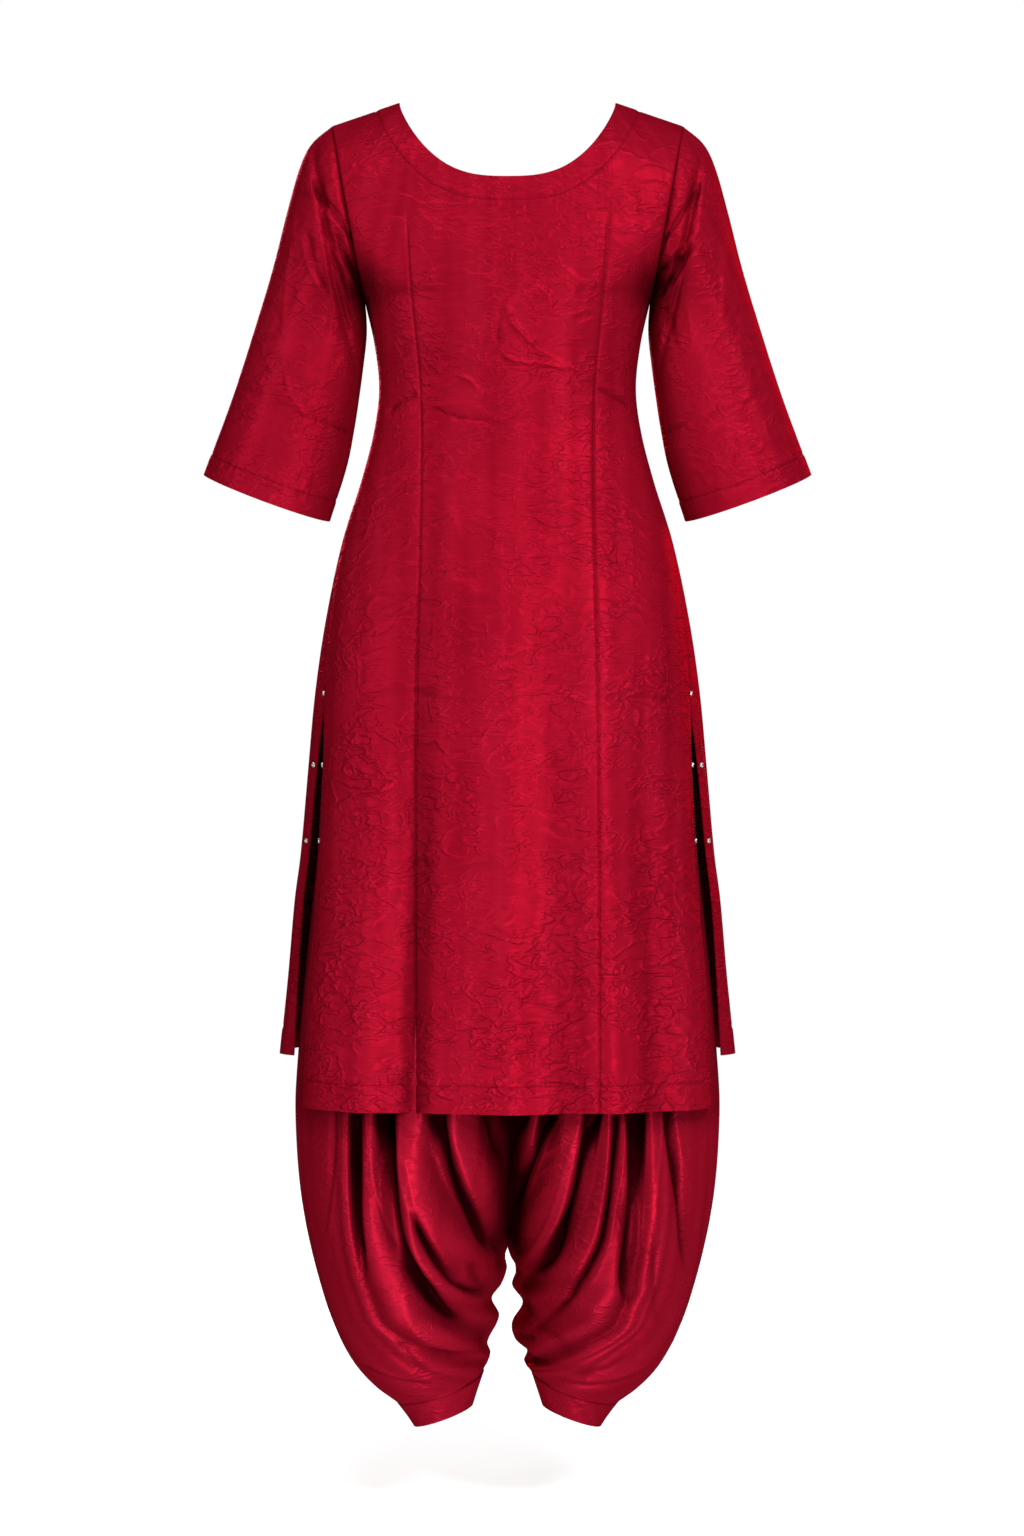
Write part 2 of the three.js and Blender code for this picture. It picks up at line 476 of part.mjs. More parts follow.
// ---------------------------------------------------------------- neck facing
// Inside the neckline: a band of the panel's own surface, moved in by the wall and a gap.
function facing(face) {
  const scoop = face === "back" ? BACK_SCOOP : FRONT_SCOOP;
  const towards = face === "back" ? -1 : 1;
  const depth = (x, z) => depthAt(x, z, { angle: Math.asin(x / edgeX(z, face)), beyond: 0 }, face);
  const inside = (x, z) => {
    const normal = new THREE.Vector3(
      depth(x - 1, z) - depth(x + 1, z),
      2 * towards,
      depth(x, z - 1) - depth(x, z + 1),
    ).normalize();
    return new THREE.Vector3(x, towards * depth(x, z), z).addScaledVector(normal, -CLOTH - FACING_CLEAR);
  };
  const edge = Array.from({ length: COLUMNS.facing + 1 }, (_, i) => {
    const x = NECK.x * Math.sin(Math.PI * (i / COLUMNS.facing - 0.5));
    return new THREE.Vector2(x, neckline(x, scoop));
  });
  const grid = [0, 0.5, 1].map((share) =>
    edge.map((p, i) => {
      const along = edge[Math.min(edge.length - 1, i + 1)].clone().sub(edge[Math.max(0, i - 1)]).normalize();
      const x = p.x + along.y * FACING_WIDTH * share;
      const z = Math.min(p.y - along.x * FACING_WIDTH * share, shoulderLine(x) - SEAM_TURNED_IN);
      return inside(x, z);
    }),
  );
  return wall(grid, towards, { thickness: 1 });
}

add("kameez_neck_facing_back", facing("back"), silk);
add("kameez_neck_facing_front", facing("front"), silk);

// ---------------------------------------------------------------- studs along the slits
// A low round head with a sunken middle, its foot on the origin and its axis along y.
function studHead() {
  const { radius: r, thickness: t } = STUD;
  const profile = [[0, 0], [r, 0], [r, 0.4 * t], [0.75 * r, t], [0.4 * r, t], [0, 0.5 * t]];
  return new THREE.LatheGeometry(profile.map(([x, y]) => new THREE.Vector2(x, y)), 10);
}

// Where a stud stands on its panel, and the direction it faces.
function onPanel(stud, side) {
  const at = (s, z) => panelPoint(side * s, z, stud.face);
  const s = 1 - stud.inset / at(1, stud.z).distanceTo(at(0.9, stud.z)) / 10;
  const across = at(s + 0.01, stud.z).sub(at(s - 0.01, stud.z));
  const up = at(s, stud.z + 4).sub(at(s, stud.z - 4));
  const facing = across.cross(up).normalize();
  if (facing.x * side < 0) facing.negate();
  return { foot: at(s, stud.z).addScaledVector(facing, STUD.clear), facing };
}

for (const [word, side] of [["left", -1], ["right", 1]]) {
  for (const stud of STUDS) {
    const { foot, facing } = onPanel(stud, side);
    const mesh = add(`stud_${stud.name}_${word}`, studHead(), metal);
    mesh.position.copy(foot);
    mesh.quaternion.setFromUnitVectors(new THREE.Vector3(0, 1, 0), facing);
  }
}

// ---------------------------------------------------------------- salwar
const closing = (split) => Math.acos(-Math.min(1, split)); // how far round a ring reaches, from its outer side

// A point of a salwar ring: turn is the angle from its outer side, backwards where back is true.
function ringPoint(ring, turn, back) {
  const outer = new THREE.Vector3(ring.outX, 0, ring.outZ);
  const inner = new THREE.Vector3(ring.inX, 0, ring.z);
  const half = ring.split < 1 ? ring.outX / (1 + ring.split) : outer.distanceTo(inner) / 2;
  const axis = outer.clone().sub(inner).normalize();
  const centre = outer.clone().addScaledVector(axis, -half);
  const p = centre.clone().addScaledVector(axis, half * Math.cos(turn));
  p.y += (back ? -ring.back : ring.front) * Math.sin(turn);
  return { p, inward: centre.sub(p).normalize() };
}

function legRing(z, side) {
  const columns = ["outX", "outZ", "split", "back", "front"];
  const ring = Object.fromEntries(columns.map((column) => [column, along(LEG, "z", column, z)]));
  const inX = z < CROTCH ? along(INSEAM[side], "z", "x", z) : 0;
  return { ...ring, split: z <= CROTCH ? 1 : ring.split, z, inX };
}

// Depth of the valleys across the cloth, at a line that hangs turn degrees round at FREE_FALL.
function pleatDepth(lines, turn, z) {
  let depth = 0;
  for (const line of lines) {
    const grown = smoothstep((line.begins - z) / PLEAT_SET);
    depth += line.depth * grown * bell((turn - line.turn) / line.width);
  }
  return depth;
}

// A point of a leg on the line that hangs turn degrees round: share is 0 at FREE_FALL and 1 at the line's end; above
// FREE_FALL z is given instead.
function legPoint(lines, turn, share, above, side, back) {
  const full = closing(along(LEG, "z", "split", FREE_FALL));
  const ends = along(lines, "turn", "ends", turn);
  const z = above ?? FREE_FALL + (ends - FREE_FALL) * share;
  const ring = legRing(z, side);
  const reach = closing(ring.split);
  let angle = (radians(turn) / full) * reach;
  if (above === undefined) {
    const arrives = Math.min(reach, radians(along(lines, "turn", "arrives", turn)));
    const plumb = Math.min(radians(turn), reach);
    angle = plumb + (arrives - plumb) * share ** along(lines, "turn", "late", turn);
    if (turn >= lines.at(-1).turn) angle = reach;
  }
  const { p, inward } = ringPoint(ring, angle, back);
  const calm = 1 - smoothstep((angle / reach - 0.9) / 0.1);
  return p.addScaledVector(inward, pleatDepth(lines, turn, z) * calm);
}

function leg(side) {
  const name = side > 0 ? "right" : "left";
  const seat = (closing(along(LEG, "z", "split", FREE_FALL)) * 180) / Math.PI;
  const half = (valleys, back) => {
    const lines = [...valleys, { turn: seat, arrives: 180, ends: SEAT_SEAM_ENDS, late: 1, depth: 0, width: 5, begins: 0 }];
    const turns = lines.slice(1).flatMap((line, k) => {
      const start = lines[k].turn;
      return [...BETWEEN_PLEATS.map((t) => start + (line.turn - start) * t), line.turn];
    });
    const columns = back ? turns : [0, ...turns];
    return columns.map((turn) => [
      ...ROWS_LEG.map((z) => legPoint(lines, turn, 0, z, name, back)),
      ...SHARES_LEG.map((share) => legPoint(lines, turn, share, undefined, name, back)),
    ]);
  };
  const columns = [...half(EITHER_FRONT, false).reverse(), ...half(side > 0 ? RIGHT_BACK : LEFT_BACK, true)];
  const grid = columns[0].map((_, i) => columns.map((column) => column[i]));
  const last = grid.length - 1;
  const onSeat = (i, j) => (j === 0 || j === columns.length - 1 || i === last) && grid[i][j].z > CROTCH;
  const onInseam = (i, j) => i === last && grid[i][j].z <= CROTCH && Math.abs(grid[i][j].y) < 0.01;
  const seams = grid.map((row, i) => row.map((_, j) => (onInseam(i, j) ? "inseam" : onSeat(i, j) ? "seat" : "")));
  grid.forEach((row, i) =>
    row.forEach((p, j) => {
      p.x = Math.max(p.x, GAP / 2);
      if (seams[i][j] === "inseam") p.y += ((j < columns.length / 2 ? 1 : -1) * GAP) / 2;
      p.x *= side;
    }),
  );
  const seam = (normal, i, j) => {
    if (seams[i][j] === "inseam") return normal.setY(0).normalize();
    if (seams[i][j] === "seat") return normal.setX(0).normalize();
    if (i === 0) return normal.setZ(0).normalize();
    if (i === last) return squareToCuff(normal, side);
    if (grid[i][j].x * side < CLOTH + GAP && normal.x * side > 0) return normal.setX(0).normalize();
    return normal;
  };
  return wall(grid, side, { seam });
}

// Lays a normal in the plane of the seam between leg and cuff.
function squareToCuff(normal, side) {
  const [ring] = CUFF;
  const across = new THREE.Vector3(side * (ring.z - ring.outZ), 0, ring.outX - ring.inX).normalize();
  return normal.addScaledVector(across, -normal.dot(across)).normalize();
}

function cuff(side) {
  const turns = Array.from({ length: COLUMNS.cuff }, (_, j) => (2 * Math.PI * j) / COLUMNS.cuff);
  const grid = CUFF.map((row) =>
    turns.map((turn) => {
      const { p } = ringPoint({ ...row, split: 1 }, turn, true);
      return p.setZ(p.z + row.lift * Math.sin(turn));
    }),
  );
  grid[0].forEach((p) => (p.z -= 1.5 * GAP));
  grid.forEach((row) => row.forEach((p) => (p.x *= side)));
  const seam = (normal, i) => (i === 0 ? squareToCuff(normal, side) : normal);
  return wall(grid, side, { wrap: true, seam });
}

function yoke() {
  const turns = Array.from({ length: COLUMNS.cuff }, (_, j) => (2 * Math.PI * j) / COLUMNS.cuff);
  const grid = YOKE.map((ring) =>
    turns.map((turn) => {
      const reach = Math.sin(turn) > 0 ? -ring.back : ring.front;
      return new THREE.Vector3(ring.half * Math.cos(turn), reach * Math.abs(Math.sin(turn)), ring.z);
    }),
  );
  grid.at(-1).forEach((p) => (p.z += GAP));
  const seam = (normal, i) => (i === grid.length - 1 ? normal.setZ(0).normalize() : normal);
  return wall(grid, 1, { wrap: true, seam });
}

add("salwar_yoke", yoke(), silk);
add("salwar_leg_left", leg(-1), silk);
add("salwar_leg_right", leg(1), silk);
add("salwar_cuff_left", cuff(-1), silk);
add("salwar_cuff_right", cuff(1), silk);

export default suit;
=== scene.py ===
# Salwar suit in worn shape: crimson silk kameez with scooped neck, flared sleeves and side slits, over a
# salwar pleated full into narrow ankle cuffs. Tables are in millimetres from the middle of the shoulder
# line, x to the wearer's right, y forward and z up. Meshes are made in metres.
import math
import bpy
import numpy as np
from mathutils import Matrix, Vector


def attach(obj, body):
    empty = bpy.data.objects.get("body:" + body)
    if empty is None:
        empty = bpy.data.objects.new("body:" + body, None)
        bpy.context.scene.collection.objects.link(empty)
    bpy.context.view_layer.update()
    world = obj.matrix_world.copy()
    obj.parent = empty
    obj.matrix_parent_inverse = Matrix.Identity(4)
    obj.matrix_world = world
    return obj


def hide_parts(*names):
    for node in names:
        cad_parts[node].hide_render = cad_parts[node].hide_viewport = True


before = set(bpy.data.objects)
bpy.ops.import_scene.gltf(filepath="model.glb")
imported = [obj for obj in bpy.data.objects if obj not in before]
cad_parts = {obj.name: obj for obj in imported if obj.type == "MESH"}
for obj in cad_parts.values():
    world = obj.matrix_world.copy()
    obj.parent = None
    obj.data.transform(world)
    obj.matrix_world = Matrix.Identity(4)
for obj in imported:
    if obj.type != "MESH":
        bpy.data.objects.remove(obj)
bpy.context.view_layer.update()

# ---------------------------------------------------------------- camera
# Straight behind the suit, level with its middle.
def placed(name, data):
    """A new object in the scene, at the origin."""
    made = bpy.data.objects.new(name, data)
    bpy.context.collection.objects.link(made)
    return made


eye = bpy.data.cameras.new("camera")
eye.sensor_width, eye.lens = 36, 73.17
camera = placed("camera", eye)
camera.location = (0.0046, -3.2, -0.672)
camera.rotation_euler = (math.radians(90), 0, 0)
bpy.context.scene.camera = camera
bpy.context.scene.view_settings.view_transform = "Standard"


# ---------------------------------------------------------------- floor and light
# A plain pale floor under the suit, a white surround, and large soft lamps on all sides.
class Thread:
    """A socket of a material's node tree. + - * / ** add Math nodes, and node() adds any other node."""

    def __init__(self, tree, socket=None):
        self.tree, self.socket = tree, socket

    def node(self, kind, out=0, values=None, stops=(), **settings):
        made = self.tree.nodes.new(kind)
        for setting, value in settings.items():
            setattr(made, setting, value)
        for k, (place, colour) in enumerate(stops):
            point = made.color_ramp.elements[k] if k < 2 else made.color_ramp.elements.new(place)
            point.position, point.color = place, (*colour, 1)
        for name, value in (values or {}).items():
            if isinstance(value, Thread):
                self.tree.links.new(value.socket, made.inputs[name])
            else:
                made.inputs[name].default_value = value
        return Thread(self.tree, made.outputs[out])

    def maths(self, operation, a, b):
        return self.node("ShaderNodeMath", 0, {0: a, 1: b}, operation=operation)

    __add__ = lambda self, other: self.maths("ADD", self, other)
    __radd__ = __add__
    __sub__ = lambda self, other: self.maths("SUBTRACT", self, other)
    __rsub__ = lambda self, other: self.maths("SUBTRACT", other, self)
    __mul__ = lambda self, other: self.maths("MULTIPLY", self, other)
    __rmul__ = __mul__
    __truediv__ = lambda self, other: self.maths("DIVIDE", self, other)
    __pow__ = lambda self, other: self.maths("POWER", self, other)
    __rpow__ = lambda self, other: self.maths("POWER", other, self)


def finish_of(name, **constants):
    """A new material and its main shader, with the constants set on the shader's own sockets."""
    material = bpy.data.materials.new(name)
    material.use_nodes = True
    shader = material.node_tree.nodes["Principled BSDF"]
    for socket, value in constants.items():
        shader.inputs[socket.replace("_", " ")].default_value = value
    return material, shader


FLOOR = {"height": -1.42, "reach": 4.0, "whole": 1.7, "gone": 3.4}
pale, shader = finish_of(
    "pale_floor", Base_Color=(0.94, 0.94, 0.94, 1), Roughness=0.9, Specular_IOR_Level=0.1,
    Emission_Color=(1, 1, 1, 1), Emission_Strength=0.43,
)
ground = Thread(pale.node_tree)
spot = ground.node("ShaderNodeTexCoord", "Object")
away = ground.node("ShaderNodeVectorMath", "Value", {0: spot}, operation="LENGTH")
fade = ground.node(
    "ShaderNodeMapRange", 0,
    {"Value": away, "From Min": FLOOR["whole"], "From Max": FLOOR["gone"], "To Min": 1, "To Max": 0},
    interpolation_type="SMOOTHSTEP",
)
pale.node_tree.links.new(fade.socket, shader.inputs["Alpha"])
slab = bpy.data.meshes.new("floor")
r, h = FLOOR["reach"], FLOOR["height"]
slab.from_pydata([(-r, -r, h), (r, -r, h), (r, r, h), (-r, r, h)], [], [(0, 1, 2, 3)])
slab.materials.append(pale)
floor = placed("floor", slab)
floor.visible_diffuse = floor.visible_glossy = floor.visible_shadow = False

SURROUND_LIGHT = 0.15
surround = bpy.data.worlds.new("surround")
bpy.context.scene.world = surround
surround.use_nodes = True
air = Thread(surround.node_tree)
seen = air.node("ShaderNodeLightPath", "Is Camera Ray")
strength = seen * (1 - SURROUND_LIGHT) + SURROUND_LIGHT
surround.node_tree.links.new(strength.socket, surround.node_tree.nodes["Background"].inputs["Strength"])
surround.node_tree.nodes["Background"].inputs["Color"].default_value = (1, 1, 1, 1)

WHOLE_SUIT, LEGS = -0.65, -1.2
LAMPS = {
    "lamp_behind_right": {"at": (1.7, -2.5, 1.3), "aim": WHOLE_SUIT, "watts": 53, "size": 0.8},
    "lamp_behind_left": {"at": (-2.6, -2.2, 0.0), "aim": WHOLE_SUIT, "watts": 24, "size": 1.2},
    "lamp_low": {"at": (0.85, -2.8, -1.5), "aim": LEGS, "watts": 37, "size": 0.8},
    "lamp_floor": {"at": (0.0, -1.7, -2.5), "aim": LEGS, "watts": 20, "size": 1.2},
    "lamp_above": {"at": (-0.4, -1.5, 2.1), "aim": WHOLE_SUIT, "watts": 27, "size": 0.9},
    "lamp_front_left": {"at": (-0.9, 3.2, 0.6), "aim": WHOLE_SUIT, "watts": 74, "size": 1.2},
    "lamp_front_right": {"at": (2.4, 2.4, 0.2), "aim": WHOLE_SUIT, "watts": 30, "size": 1.6},
}
for name, lamp in LAMPS.items():
    panel_light = bpy.data.lights.new(name, "AREA")
    panel_light.energy, panel_light.size = lamp["watts"], lamp["size"]
    lamp_object = placed(name, panel_light)
    lamp_object.location = lamp["at"]
    aim = Vector((0, 0, lamp["aim"])) - Vector(lamp["at"])
    lamp_object.rotation_euler = aim.to_track_quat("-Z", "Y").to_euler()


# ---------------------------------------------------------------- kameez back
# The back panel: crisp crimson silk, shaped by two long darts from the shoulder blades to the hem, sewn
# to the front along the shoulders and down the sides to the slits, and hemmed with a turned-up band.
def columns(names, *rows):
    """A table as arrays by column name, in order of the first column."""
    rows = np.array(sorted(rows), float)
    return {name: rows[:, k] for k, name in enumerate(names.split())}


def along(table, column, place):
    """Value of a column at a place: a smooth curve through the rows (cubic Hermite, mean slopes)."""
    x, y = next(iter(table.values())), table[column]
    place = np.clip(place, x[0], x[-1])
    i = np.clip(np.searchsorted(x, place) - 1, 0, len(x) - 2)
    before, after = np.maximum(i - 1, 0), np.minimum(i + 2, len(x) - 1)
    step = x[i + 1] - x[i]
    m0 = step * (y[i + 1] - y[before]) / (x[i + 1] - x[before])
    m1 = step * (y[after] - y[i]) / (x[after] - x[i])
    t = (place - x[i]) / step
    t2, t3 = t * t, t * t * t
    leaving = (2 * t3 - 3 * t2 + 1) * y[i] + (t3 - 2 * t2 + t) * m0
    return leaving + (3 * t2 - 2 * t3) * y[i + 1] + (t3 - t2) * m1


def smoothstep(t):
    """0 below 0, 1 above 1, and 3t2 - 2t3 between."""
    t = np.clip(t, 0, 1)
    return t * t * (3 - 2 * t)


def bell(t):
    """exp(-t squared)."""
    return np.exp(-np.square(t))


def unit(vectors):
    """Each vector divided by its length."""
    return vectors / np.maximum(1e-9, np.linalg.norm(vectors, axis=-1, keepdims=True))


def run_along(points, axis=0):
    """Distance gone along a line, or along the lines of a grid: the sum of the steps so far."""
    steps = np.linalg.norm(np.diff(points, axis=axis), axis=-1)
    return np.concatenate([np.zeros_like(np.take(steps, [0], axis)), np.cumsum(steps, axis)], axis)


SEAM_GAP, SIDE_SEAM_DEPTH = 0.1, 1.5
NECK = {"x": 111, "z": 9}
SHOULDER = {"x": 179, "z": -14}
UNDERARM = {"x": 146, "z": -195}
ARMHOLE = {"middle": -104.5, "half": 90.5, "back": 70, "front": 60, "roll": 0.65}
SCOOP = {"back": 90.5, "front": 124}
SLIT_TOP = -595
HEM = {"back": -1009, "front": -964}
BODY = columns(
    "z half back front backX backY frontX frontY",
    (-195, 146, 103, 120, 146, 0, 146, 0), (-240, 136, 100, 131, 136, 0, 136, 0),
    (-285, 131.5, 89, 119, 131.5, 0, 131.5, 0), (-330, 137, 87, 107, 137, 2, 137, 2),
    (-380, 150, 97, 103, 149.5, 8, 149.5, 8), (-440, 169, 117, 106, 167, 20, 167, 20),
    (-520, 186, 140, 112, 179.5, 38, 179.5, 38), (-595, 197, 149, 118, 183.5, 53, 183.5, 53),
    (-670, 204, 151, 124, 184.5, 62, 193, 37), (-760, 212, 153, 132, 188, 70, 202, 31),
    (-806, 218, 154, 137, 191, 74, 207.5, 30), (-886, 225, 156, 145, 198.5, 78, 213, 29),
    (-964, 233, 160, 153, 202, 80, 217, 29), (-1009, 237, 163, 157, 204.5, 82, 220, 29),
)
CHEST = columns(
    "z back front arch",
    (-195, 103, 120, 0.8), (-150, 98, 100, 1.0), (-104, 89, 76, 1.3), (-60, 84, 66, 1.5), (9, 80, 62, 1.5),
)
DART = columns(
    "z x", (9, 111), (-95, 102.5), (-195, 96.5), (-290, 87.5), (-460, 86.5), (-600, 89), (-1009, 90),
)
DART_COLUMN = 0.46
DART_OPENS = -95
BUNCHED = {"from": -340, "over": 220}
BUST = {"x": 74, "z": -232, "out": 9, "wide": 40, "tall": 62}
HIP_ARCH = 0.8
FLUTES = {
    "back": columns(
        "x depth width begins",
        (-92, 10.5, 12.5, -230), (-143, -8, 19, -400), (4, -10, 26, -250), (64, 4.5, 17, -260),
        (106, -8, 15, -250), (147, 5, 16, -420),
    ),
    "front": columns(
        "x depth width begins",
        (-150, 7, 22, -400), (-70, 8, 24, -420), (8, 6, 24, -400), (82, 8, 24, -420), (154, 7, 22, -400),
    ),
}


def edge_of(axis, z, face):
    """A panel's edge below the underarm: the side seam, which is the back's, then the slit's own edge."""
    return np.where(z < SLIT_TOP, along(BODY, face + axis, z), along(BODY, "back" + axis, z))


def edge_x(z, face):
    """Distance of a panel's edge from the centre: the straight armhole, and below it the side seam."""
    out, rise = SHOULDER["x"] - UNDERARM["x"], SHOULDER["z"] - UNDERARM["z"]
    armhole = UNDERARM["x"] + (z - UNDERARM["z"]) * out / rise
    return np.where(z < UNDERARM["z"], edge_of("X", z, face), armhole)


def column_angle(s, z, face):
    """x of a column is widest * sin(angle). s runs from -1 to 1 across the panel, with the darts at
    +-DART_COLUMN, and above the waist the columns bunch towards them."""
    wraps = (face == "front") & (z < UNDERARM["z"])
    edge = edge_x(z, face)
    widest = np.where(wraps, along(BODY, "half", z), edge)
    beyond = np.where(wraps, np.arccos(np.clip(edge / widest, -1, 1)), 0)
    dart_x = along(DART, "x", z)
    dart = np.arcsin(dart_x / widest)
    share = np.minimum(1, np.abs(s) / DART_COLUMN)
    upper = smoothstep((z - BUNCHED["from"]) / BUNCHED["over"])
    bunched = share + (np.sin(share * np.pi / 2) - share) * upper
    inner = np.arcsin(bunched * dart_x / widest)
    outer = dart + (np.pi / 2 + beyond - dart) * (np.abs(s) - DART_COLUMN) / (1 - DART_COLUMN)
    return widest, beyond, np.sign(s) * np.where(np.abs(s) <= DART_COLUMN, inner, outer)


def shoulder_line(x):
    """Height of the shoulder seam, a straight line from neck to shoulder tip."""
    return NECK["z"] + (np.abs(x) - NECK["x"]) * (SHOULDER["z"] - NECK["z"]) / (SHOULDER["x"] - NECK["x"])


def neckline(x, face):
    """Height of the neckline: a rounded scoop, 1 - (1 - x to the 2.8) to the 0.74."""
    return NECK["z"] - SCOOP[face] * (1 - np.minimum(1, np.abs(x) / NECK["x"]) ** 2.8) ** 0.74


def armhole_shares(x, z):
    """What is left of the armhole's depth: the ellipse's share towards the underarm, the root of one less
    the height squared, and the share where it rolls in to nothing at the shoulder."""
    low = np.minimum(0, (z - ARMHOLE["middle"]) / ARMHOLE["half"])
    drop = np.clip((shoulder_line(x) - z) / ARMHOLE["half"], 0, 1)
    return np.sqrt(np.maximum(0, 1 - low * low)), (1 - (1 - drop) ** 2) ** ARMHOLE["roll"]


def depth_at(x, z, angle, beyond, face):
    """How far the cloth stands behind or in front of the shoulder seam: an arch over the column's angle,
    which rolls in to nothing at the shoulder."""
    c = np.cos(angle)
    edge_y = edge_of("Y", z, face)
    start = edge_y if face == "back" else 0
    below = start + (along(BODY, face, z) - start) * np.maximum(0, c) ** HIP_ARCH
    below = np.where((c < 0) & (beyond > 0), edge_y * c / np.maximum(1e-6, np.sin(beyond)), below)
    lower, roll = armhole_shares(x, z)
    edge = ARMHOLE[face] * lower
    arch = np.maximum(1e-9, c) ** along(CHEST, "arch", z)
    above = (edge + (along(CHEST, face, z) - edge) * arch) * roll
    return np.where(z < UNDERARM["z"], below, above)


def relief(x, z, face, sharp):
    """Flutes of the skirt as bells across it, growing downwards, a groove along each dart, with a narrow
    middle of depth sharp, and the bust in front."""
    flutes, out = FLUTES[face], 0
    edge, hem_edge = edge_x(z, face), edge_x(np.array(HEM[face] + 0.0), face)
    for at, depth, width, begins in zip(flutes["x"], flutes["depth"], flutes["width"], flutes["begins"]):
        grown = smoothstep((begins - z) / (begins - HEM[face]))
        out = out - depth * grown * bell((x - edge / hem_edge * at) / width)
    aside = np.abs(x) - along(DART, "x", z)
    opening = smoothstep((DART_OPENS - z) / 60)
    out = out - opening * (0.5 * bell(aside / 5) + sharp * bell(aside / 1.5))
    if face == "front":
        across = bell((np.abs(x) - BUST["x"]) / BUST["wide"])
        out = out + BUST["out"] * across * bell((z - BUST["z"]) / BUST["tall"])
    return out


def armhole_dip(z, off):
    """What is left of the depth beside the armhole seam: one less a wide and a narrow bell of the
    distance off, fading in above the underarm."""
    return 1 - (0.075 * bell(off) + 0.025 * bell(5 * off)) * smoothstep((z - UNDERARM["z"]) / 30)


def panel_points(s, z_edge, face):
    """Points of a panel: s across it, z_edge each row's height at the panel's edge. Above the underarm
    the rows fan up to the neckline and shoulder."""
    s, z_edge = np.meshgrid(s, z_edge)
    top = np.full_like(s, SHOULDER["z"])
    for _ in range(6):
        widest, _, angle = column_angle(s, top, face)
        x = widest * np.sin(angle)
        top = np.where(np.abs(x) < NECK["x"], neckline(x, face), shoulder_line(x))
    rise = (z_edge - UNDERARM["z"]) / (SHOULDER["z"] - UNDERARM["z"])
    z = np.where(z_edge > UNDERARM["z"], UNDERARM["z"] + (top - UNDERARM["z"]) * rise, z_edge)
    widest, beyond, angle = column_angle(s, z, face)
    x = widest * np.sin(angle)
    calm = (1 - smoothstep((np.abs(s) - 0.86) / 0.14)) * smoothstep((SHOULDER["z"] - 8 - z_edge) / 60)
    depth = depth_at(x, z, angle, beyond, face) + relief(x, z, face, 1.6) * calm
    depth = depth * armhole_dip(z, (1 - np.abs(s)) / 0.04)
    return np.stack([x, depth * (-1 if face == "back" else 1), z], axis=-1)


def normals_of(points, side, wrap=False):
    """Outward unit normals of a grid, from the differences between neighbours."""
    if wrap:
        across = np.roll(points, -1, 1) - np.roll(points, 1, 1)
    else:
        across = np.gradient(points, axis=1)
    return unit(np.cross(across, np.gradient(points, axis=0)) * side)


def spaced(low, high, count, close=()):
    """count places from low to high, gathered round each (place, width, how much) of close."""
    place = np.linspace(low, high, 4001)
    crowd = 1 + sum(much * bell((place - at) / width) for at, width, much in close) + 0 * place
    total = np.concatenate([[0], np.cumsum((crowd[1:] + crowd[:-1]) / 2)])
    return np.interp(np.linspace(0, total[-1], count), total, place)


def smooth_path(points, step):
    """A smooth curve through the points, sampled every step, with each sample's share of its length."""
    points = np.array(points, float)
    t = run_along(points)
    table = {"t": t, **{str(k): points[:, k] for k in range(points.shape[1])}}
    at = np.linspace(0, t[-1], max(3, int(t[-1] / step) + 1))
    return np.stack([along(table, str(k), at) for k in range(points.shape[1])], axis=-1), at / t[-1]


def creased(points, normals, creases, towards, fade=0.0):
    """Height of given creases over a grid, seen along y. Each is a ridge, or a trough where it is
    negative, along a smooth line of (x, z): (1 + the distance off over its width, squared) to the -1.6,
    uneven in height, dying out at both ends, and lower by fade at its far end. towards is the way it
    faces, -1 behind."""
    x, z = points[..., 0], points[..., 2]
    facing = smoothstep((normals[..., 1] * towards - 0.05) / 0.35)
    height = np.zeros_like(x)
    for k, (high, width, line) in enumerate(creases):
        path, share = smooth_path(line, 1.5)
        low, top = path.min(0) - 5 * width, path.max(0) + 5 * width
        near = (x > low[0]) & (x < top[0]) & (z > low[1]) & (z < top[1]) & (facing > 0)
        if not near.any():
            continue
        gap = np.hypot(x[near][:, None] - path[:, 0], z[near][:, None] - path[:, 1])
        closest = gap.argmin(1)
        off, place = gap[np.arange(len(gap)), closest], share[closest]
        taper = smoothstep(place / 0.22) * smoothstep((1 - place) / 0.22)
        uneven = 0.82 + 0.18 * np.sin(place * 9.3 + 1.7 * k)
        height[near] += high * taper * uneven * (1.0 - fade * place) * (1 + (off / width) ** 2) ** -1.6
    return height * facing


def quads(rows, cols, wrap=False, first=0):
    """Four-sided faces between the points of a grid, which are numbered row by row from first."""
    places = np.arange(rows - 1), np.arange(cols if wrap else cols - 1)
    i, j = (k.ravel() for k in np.meshgrid(*places, indexing="ij"))
    k = (j + 1) % cols
    return first + np.stack([i * cols + j, i * cols + k, (i + 1) * cols + k, (i + 1) * cols + j], -1)


LINING_CLEAR = 1.7


